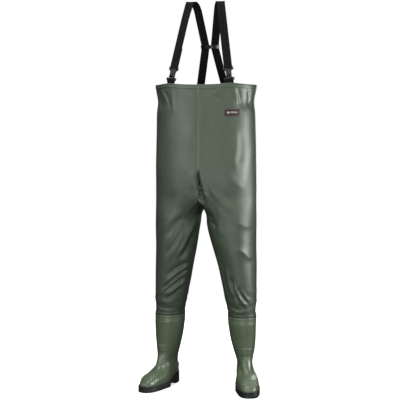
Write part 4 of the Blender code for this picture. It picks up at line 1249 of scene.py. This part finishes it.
def webbing(name, path, ways, widths, side, node):
    """Webbing along a path of the right side, its width along each of `widths`, mapped along its length."""
    section = web_section(WEB_WIDTH, WEB)
    rings, flat = [], []
    run = 0.0
    for i, point in enumerate(path):
        along_it = ways[i]
        across = (widths[i] - along_it * widths[i].dot(along_it)).normalized()
        off = along_it.cross(across).normalized()
        run += (point - path[i - 1]).length if i else 0.0
        rings.append([point + across * x + off * y for x, y in section])
        flat += [(x, run) for x, _ in section]
    grid = np.array([[tuple(p) for p in ring] for ring in rings])
    grid[..., 0] *= side
    count = len(section)
    numbers = np.arange(grid.shape[0] * count).reshape(-1, count).tolist()
    faces = strip_faces(numbers, around=True) + [tuple(numbers[0]), tuple(numbers[-1][::-1])]
    made = mesh_object(name, grid.reshape(-1, 3), faces, [ELASTIC], flip=side > 0, crease=50)
    layer = made.data.uv_layers.new(name="web")
    corners = np.empty(len(made.data.loops), np.int32)
    made.data.loops.foreach_get("vertex_index", corners)
    layer.data.foreach_set("uv", np.array(flat, np.float32)[corners].ravel())
    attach(made, "garment")
    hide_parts(node)
    return made


def turn_round(frame_matrix, z, reach, down, steps=12):
    """Half an ellipse round a bar, from behind it to in front, or the other way where reach is negative."""
    angles = np.linspace(0, math.pi, steps + 1)
    return [frame_matrix @ Vector((0, reach * math.cos(a), z - down * math.sin(a))) for a in angles]


def brace_paths():
    """The tail, its turn round the buckle and the run to the shoulder, and the run on to the back hem."""
    place = buckle_frame()
    tail_end = SOCKET_BAR[1] + TAIL_LENGTH
    front = [place @ Vector((0, LOOP, z)) for z in np.linspace(tail_end, SOCKET_BAR[0] + 0.0015, 40)]
    front += turn_round(place, SOCKET_BAR[0], LOOP, LOOP_DOWN)[1:]
    bend = (FRONT_HIGH - BUCKLE_AT).length - BEND_BEFORE
    front += [place @ Vector((0, -LOOP, z)) for z in np.linspace(SOCKET_BAR[0] + 0.0015, bend, 60)]
    guides = [on_axis(p) for p in (BUCKLE_AT, FRONT_HIGH, SHOULDER_TOP, BACK_HIGH, KEEPER_AT)]
    over = smooth_path(guides, 24)
    front += over[2:25]
    lead = (KEEPER_AT - BACK_HIGH).normalized() * KEEPER_RUN
    leave = (BACK_HEM - KEEPER_AT).normalized() * KEEPER_RUN
    marks = [SHOULDER_TOP, BACK_HIGH, KEEPER_AT - lead, KEEPER_AT, KEEPER_AT + leave,
             KEEPER_AT.lerp(BACK_HEM, 0.5), BACK_HEM, BACK_HEM.lerp(BACK_END, 0.4), BACK_END,
             BACK_END + (BACK_END - BACK_HEM) * 0.5]
    back = over[24:-1] + smooth_path([on_axis(p) for p in marks[1:]], 12)
    crossing = (over[25] - over[23]).normalized()
    front_ways, back_ways = directions(front), directions(back)
    front_ways[-1] = crossing
    back_ways[0] = crossing
    return front, front_ways, back, back_ways


def brace(side_name, side):
    front, front_ways, back, back_ways = brace_paths()
    across = buckle_frame().col[0].xyz
    bend_z = on_axis(FRONT_HIGH).z - BEND_BEFORE
    rest = on_axis(SHOULDER_TOP).z - bend_z
    front_widths = [across.lerp(yawed(0), float(ease((p.z - bend_z) / rest))) for p in front]
    drop = KEEPER_AT.z - BACK_HEM.z
    back_widths = [yawed(BACK_YAW * float(ease((KEEPER_AT.z - p.z) / drop))) for p in back]
    strap = webbing(side_name + "_front_elastic", front, front_ways, front_widths, side,
                    side_name + "_front_strap")
    webbing(side_name + "_back_elastic", back, back_ways, back_widths, side, side_name + "_back_strap")
    up = buckle_frame().col[2].xyz
    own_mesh(strap)


def front_tab(name, side, node):
    """Webbing sewn inside the bib that loops round the lower half of the buckle."""
    place = buckle_frame()
    inward = Vector((math.sin(-TAB_YAW), math.cos(TAB_YAW), 0))
    low = [on_axis(TAB_END) - inward * TAB_SPREAD, on_axis(TAB_HEM) - inward * TAB_SPREAD]
    path = [low[0].lerp(low[1], t) for t in np.linspace(0, 1, 8)]
    front = [place @ Vector((0, -LOOP, BASE_BAR[0] - TAB_CLEAR))]
    turn = [place @ Vector((0, -LOOP * math.cos(a), BASE_BAR[1] - 0.0003 + LOOP_DOWN * math.sin(a)))
            for a in np.linspace(0, math.pi, 13)]
    back = [place @ Vector((0, LOOP, BASE_BAR[0] - TAB_CLEAR))]
    high = [on_axis(TAB_HEM) + inward * TAB_SPREAD, on_axis(TAB_END) + inward * TAB_SPREAD]
    path += front + turn + back + [high[0].lerp(high[1], t) for t in np.linspace(0, 1, 8)]
    hem, bar = yawed(TAB_YAW), place.col[0].xyz
    widths = [hem] * 8 + [bar] * (len(path) - 16) + [hem] * 8
    webbing(name, path, directions(path), widths, side, node)


for side_name, side in SIDES:
    brace(side_name, side)
    front_tab(side_name + "_tab_elastic", side, side_name + "_front_tab")

# ---------------------------------------------------------------- buckles and keeper


def refined(name, node, body, width, extra=()):
    """A copy of a frame node with its flats merged and its edges rounded, plus moulded ridges."""
    mesh = frame["nodes"][node].data.copy()
    bm = bmesh.new()
    bm.from_mesh(mesh)
    bmesh.ops.remove_doubles(bm, verts=bm.verts, dist=0.00001)
    bmesh.ops.dissolve_limit(bm, angle_limit=math.radians(1), verts=bm.verts, edges=bm.edges)
    edges = [e for e in bm.edges if len(e.link_faces) == 2 and e.calc_face_angle() > math.radians(25)]
    bmesh.ops.bevel(bm, geom=edges, offset=width, segments=3, affect="EDGES", clamp_overlap=True)
    for place, half in extra:
        found = bmesh.ops.create_cube(bm, size=2, matrix=place @ Matrix.Diagonal((*half, 1)))
        rim = list({e for v in found["verts"] for e in v.link_edges})
        bmesh.ops.bevel(bm, geom=rim, offset=min(half) * 0.6, segments=2, affect="EDGES", clamp_overlap=True)
    bm.to_mesh(mesh)
    bm.free()
    mesh.shade_smooth()
    mesh.set_sharp_from_angle(angle=math.radians(40))
    mesh.materials.clear()
    mesh.materials.append(PLASTIC)
    made = bpy.data.objects.new(name, mesh)
    bpy.context.scene.collection.objects.link(made)
    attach(made, body)
    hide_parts(node)
    return made


def side_matrix(side):
    place = buckle_frame()
    if side < 0:
        flip = Matrix.Diagonal((-1, 1, 1, 1))
        place = flip @ place @ flip
    return place


HOUSING_FACE = 0.0045
GRIPS = (-0.0020, 0.0015, 0.0050)
GRIP_HALF = (0.0062, 0.0005, 0.0008)
PAD_X = 0.0127
PADS = (-0.0012, 0.0000)
PAD_HALF = (0.0004, 0.0014, 0.0004)


def buckle(side_name, side):
    place = side_matrix(side)
    grips = []
    for z in GRIPS:
        for face in (-1, 1):
            grips.append((place @ Matrix.Translation((0, face * HOUSING_FACE, z)), GRIP_HALF))
    socket = side_name + "_buckle_socket"
    refined(side_name + "_socket_moulded", socket, socket, 0.0006, grips)
    refined(side_name + "_base_moulded", side_name + "_buckle_base", "garment", 0.0006)
    for hand_name, hand in (("outer", side), ("inner", -side)):
        node = f"{side_name}_buckle_{hand_name}_prong"
        pads = [(place @ Matrix.Translation((hand * PAD_X, 0, z)), PAD_HALF) for z in PADS]
        refined(f"{side_name}_{hand_name}_prong_moulded", node, node, 0.0004, pads)


for side_name, side in SIDES:
    buckle(side_name, side)
refined("back_keeper_moulded", "back_keeper", "garment", 0.0009)

# ---------------------------------------------------------------- finish

for node in frame["nodes"].values():
    slot = next(s["material_slot"] for s in frame["record"]["subparts"] if s["node"] == node.name)
    look = {
        "coated_cloth": CLOTH, "seam_tape": TAPE_LOOK, "boot_pvc": BOOT, "sole_rubber": SOLE,
        "insole_foam": INSOLE, "webbing": ELASTIC, "buckle_plastic": PLASTIC, "label": LABEL_BLACK,
    }[slot]
    for held in node.material_slots:
        held.material = look
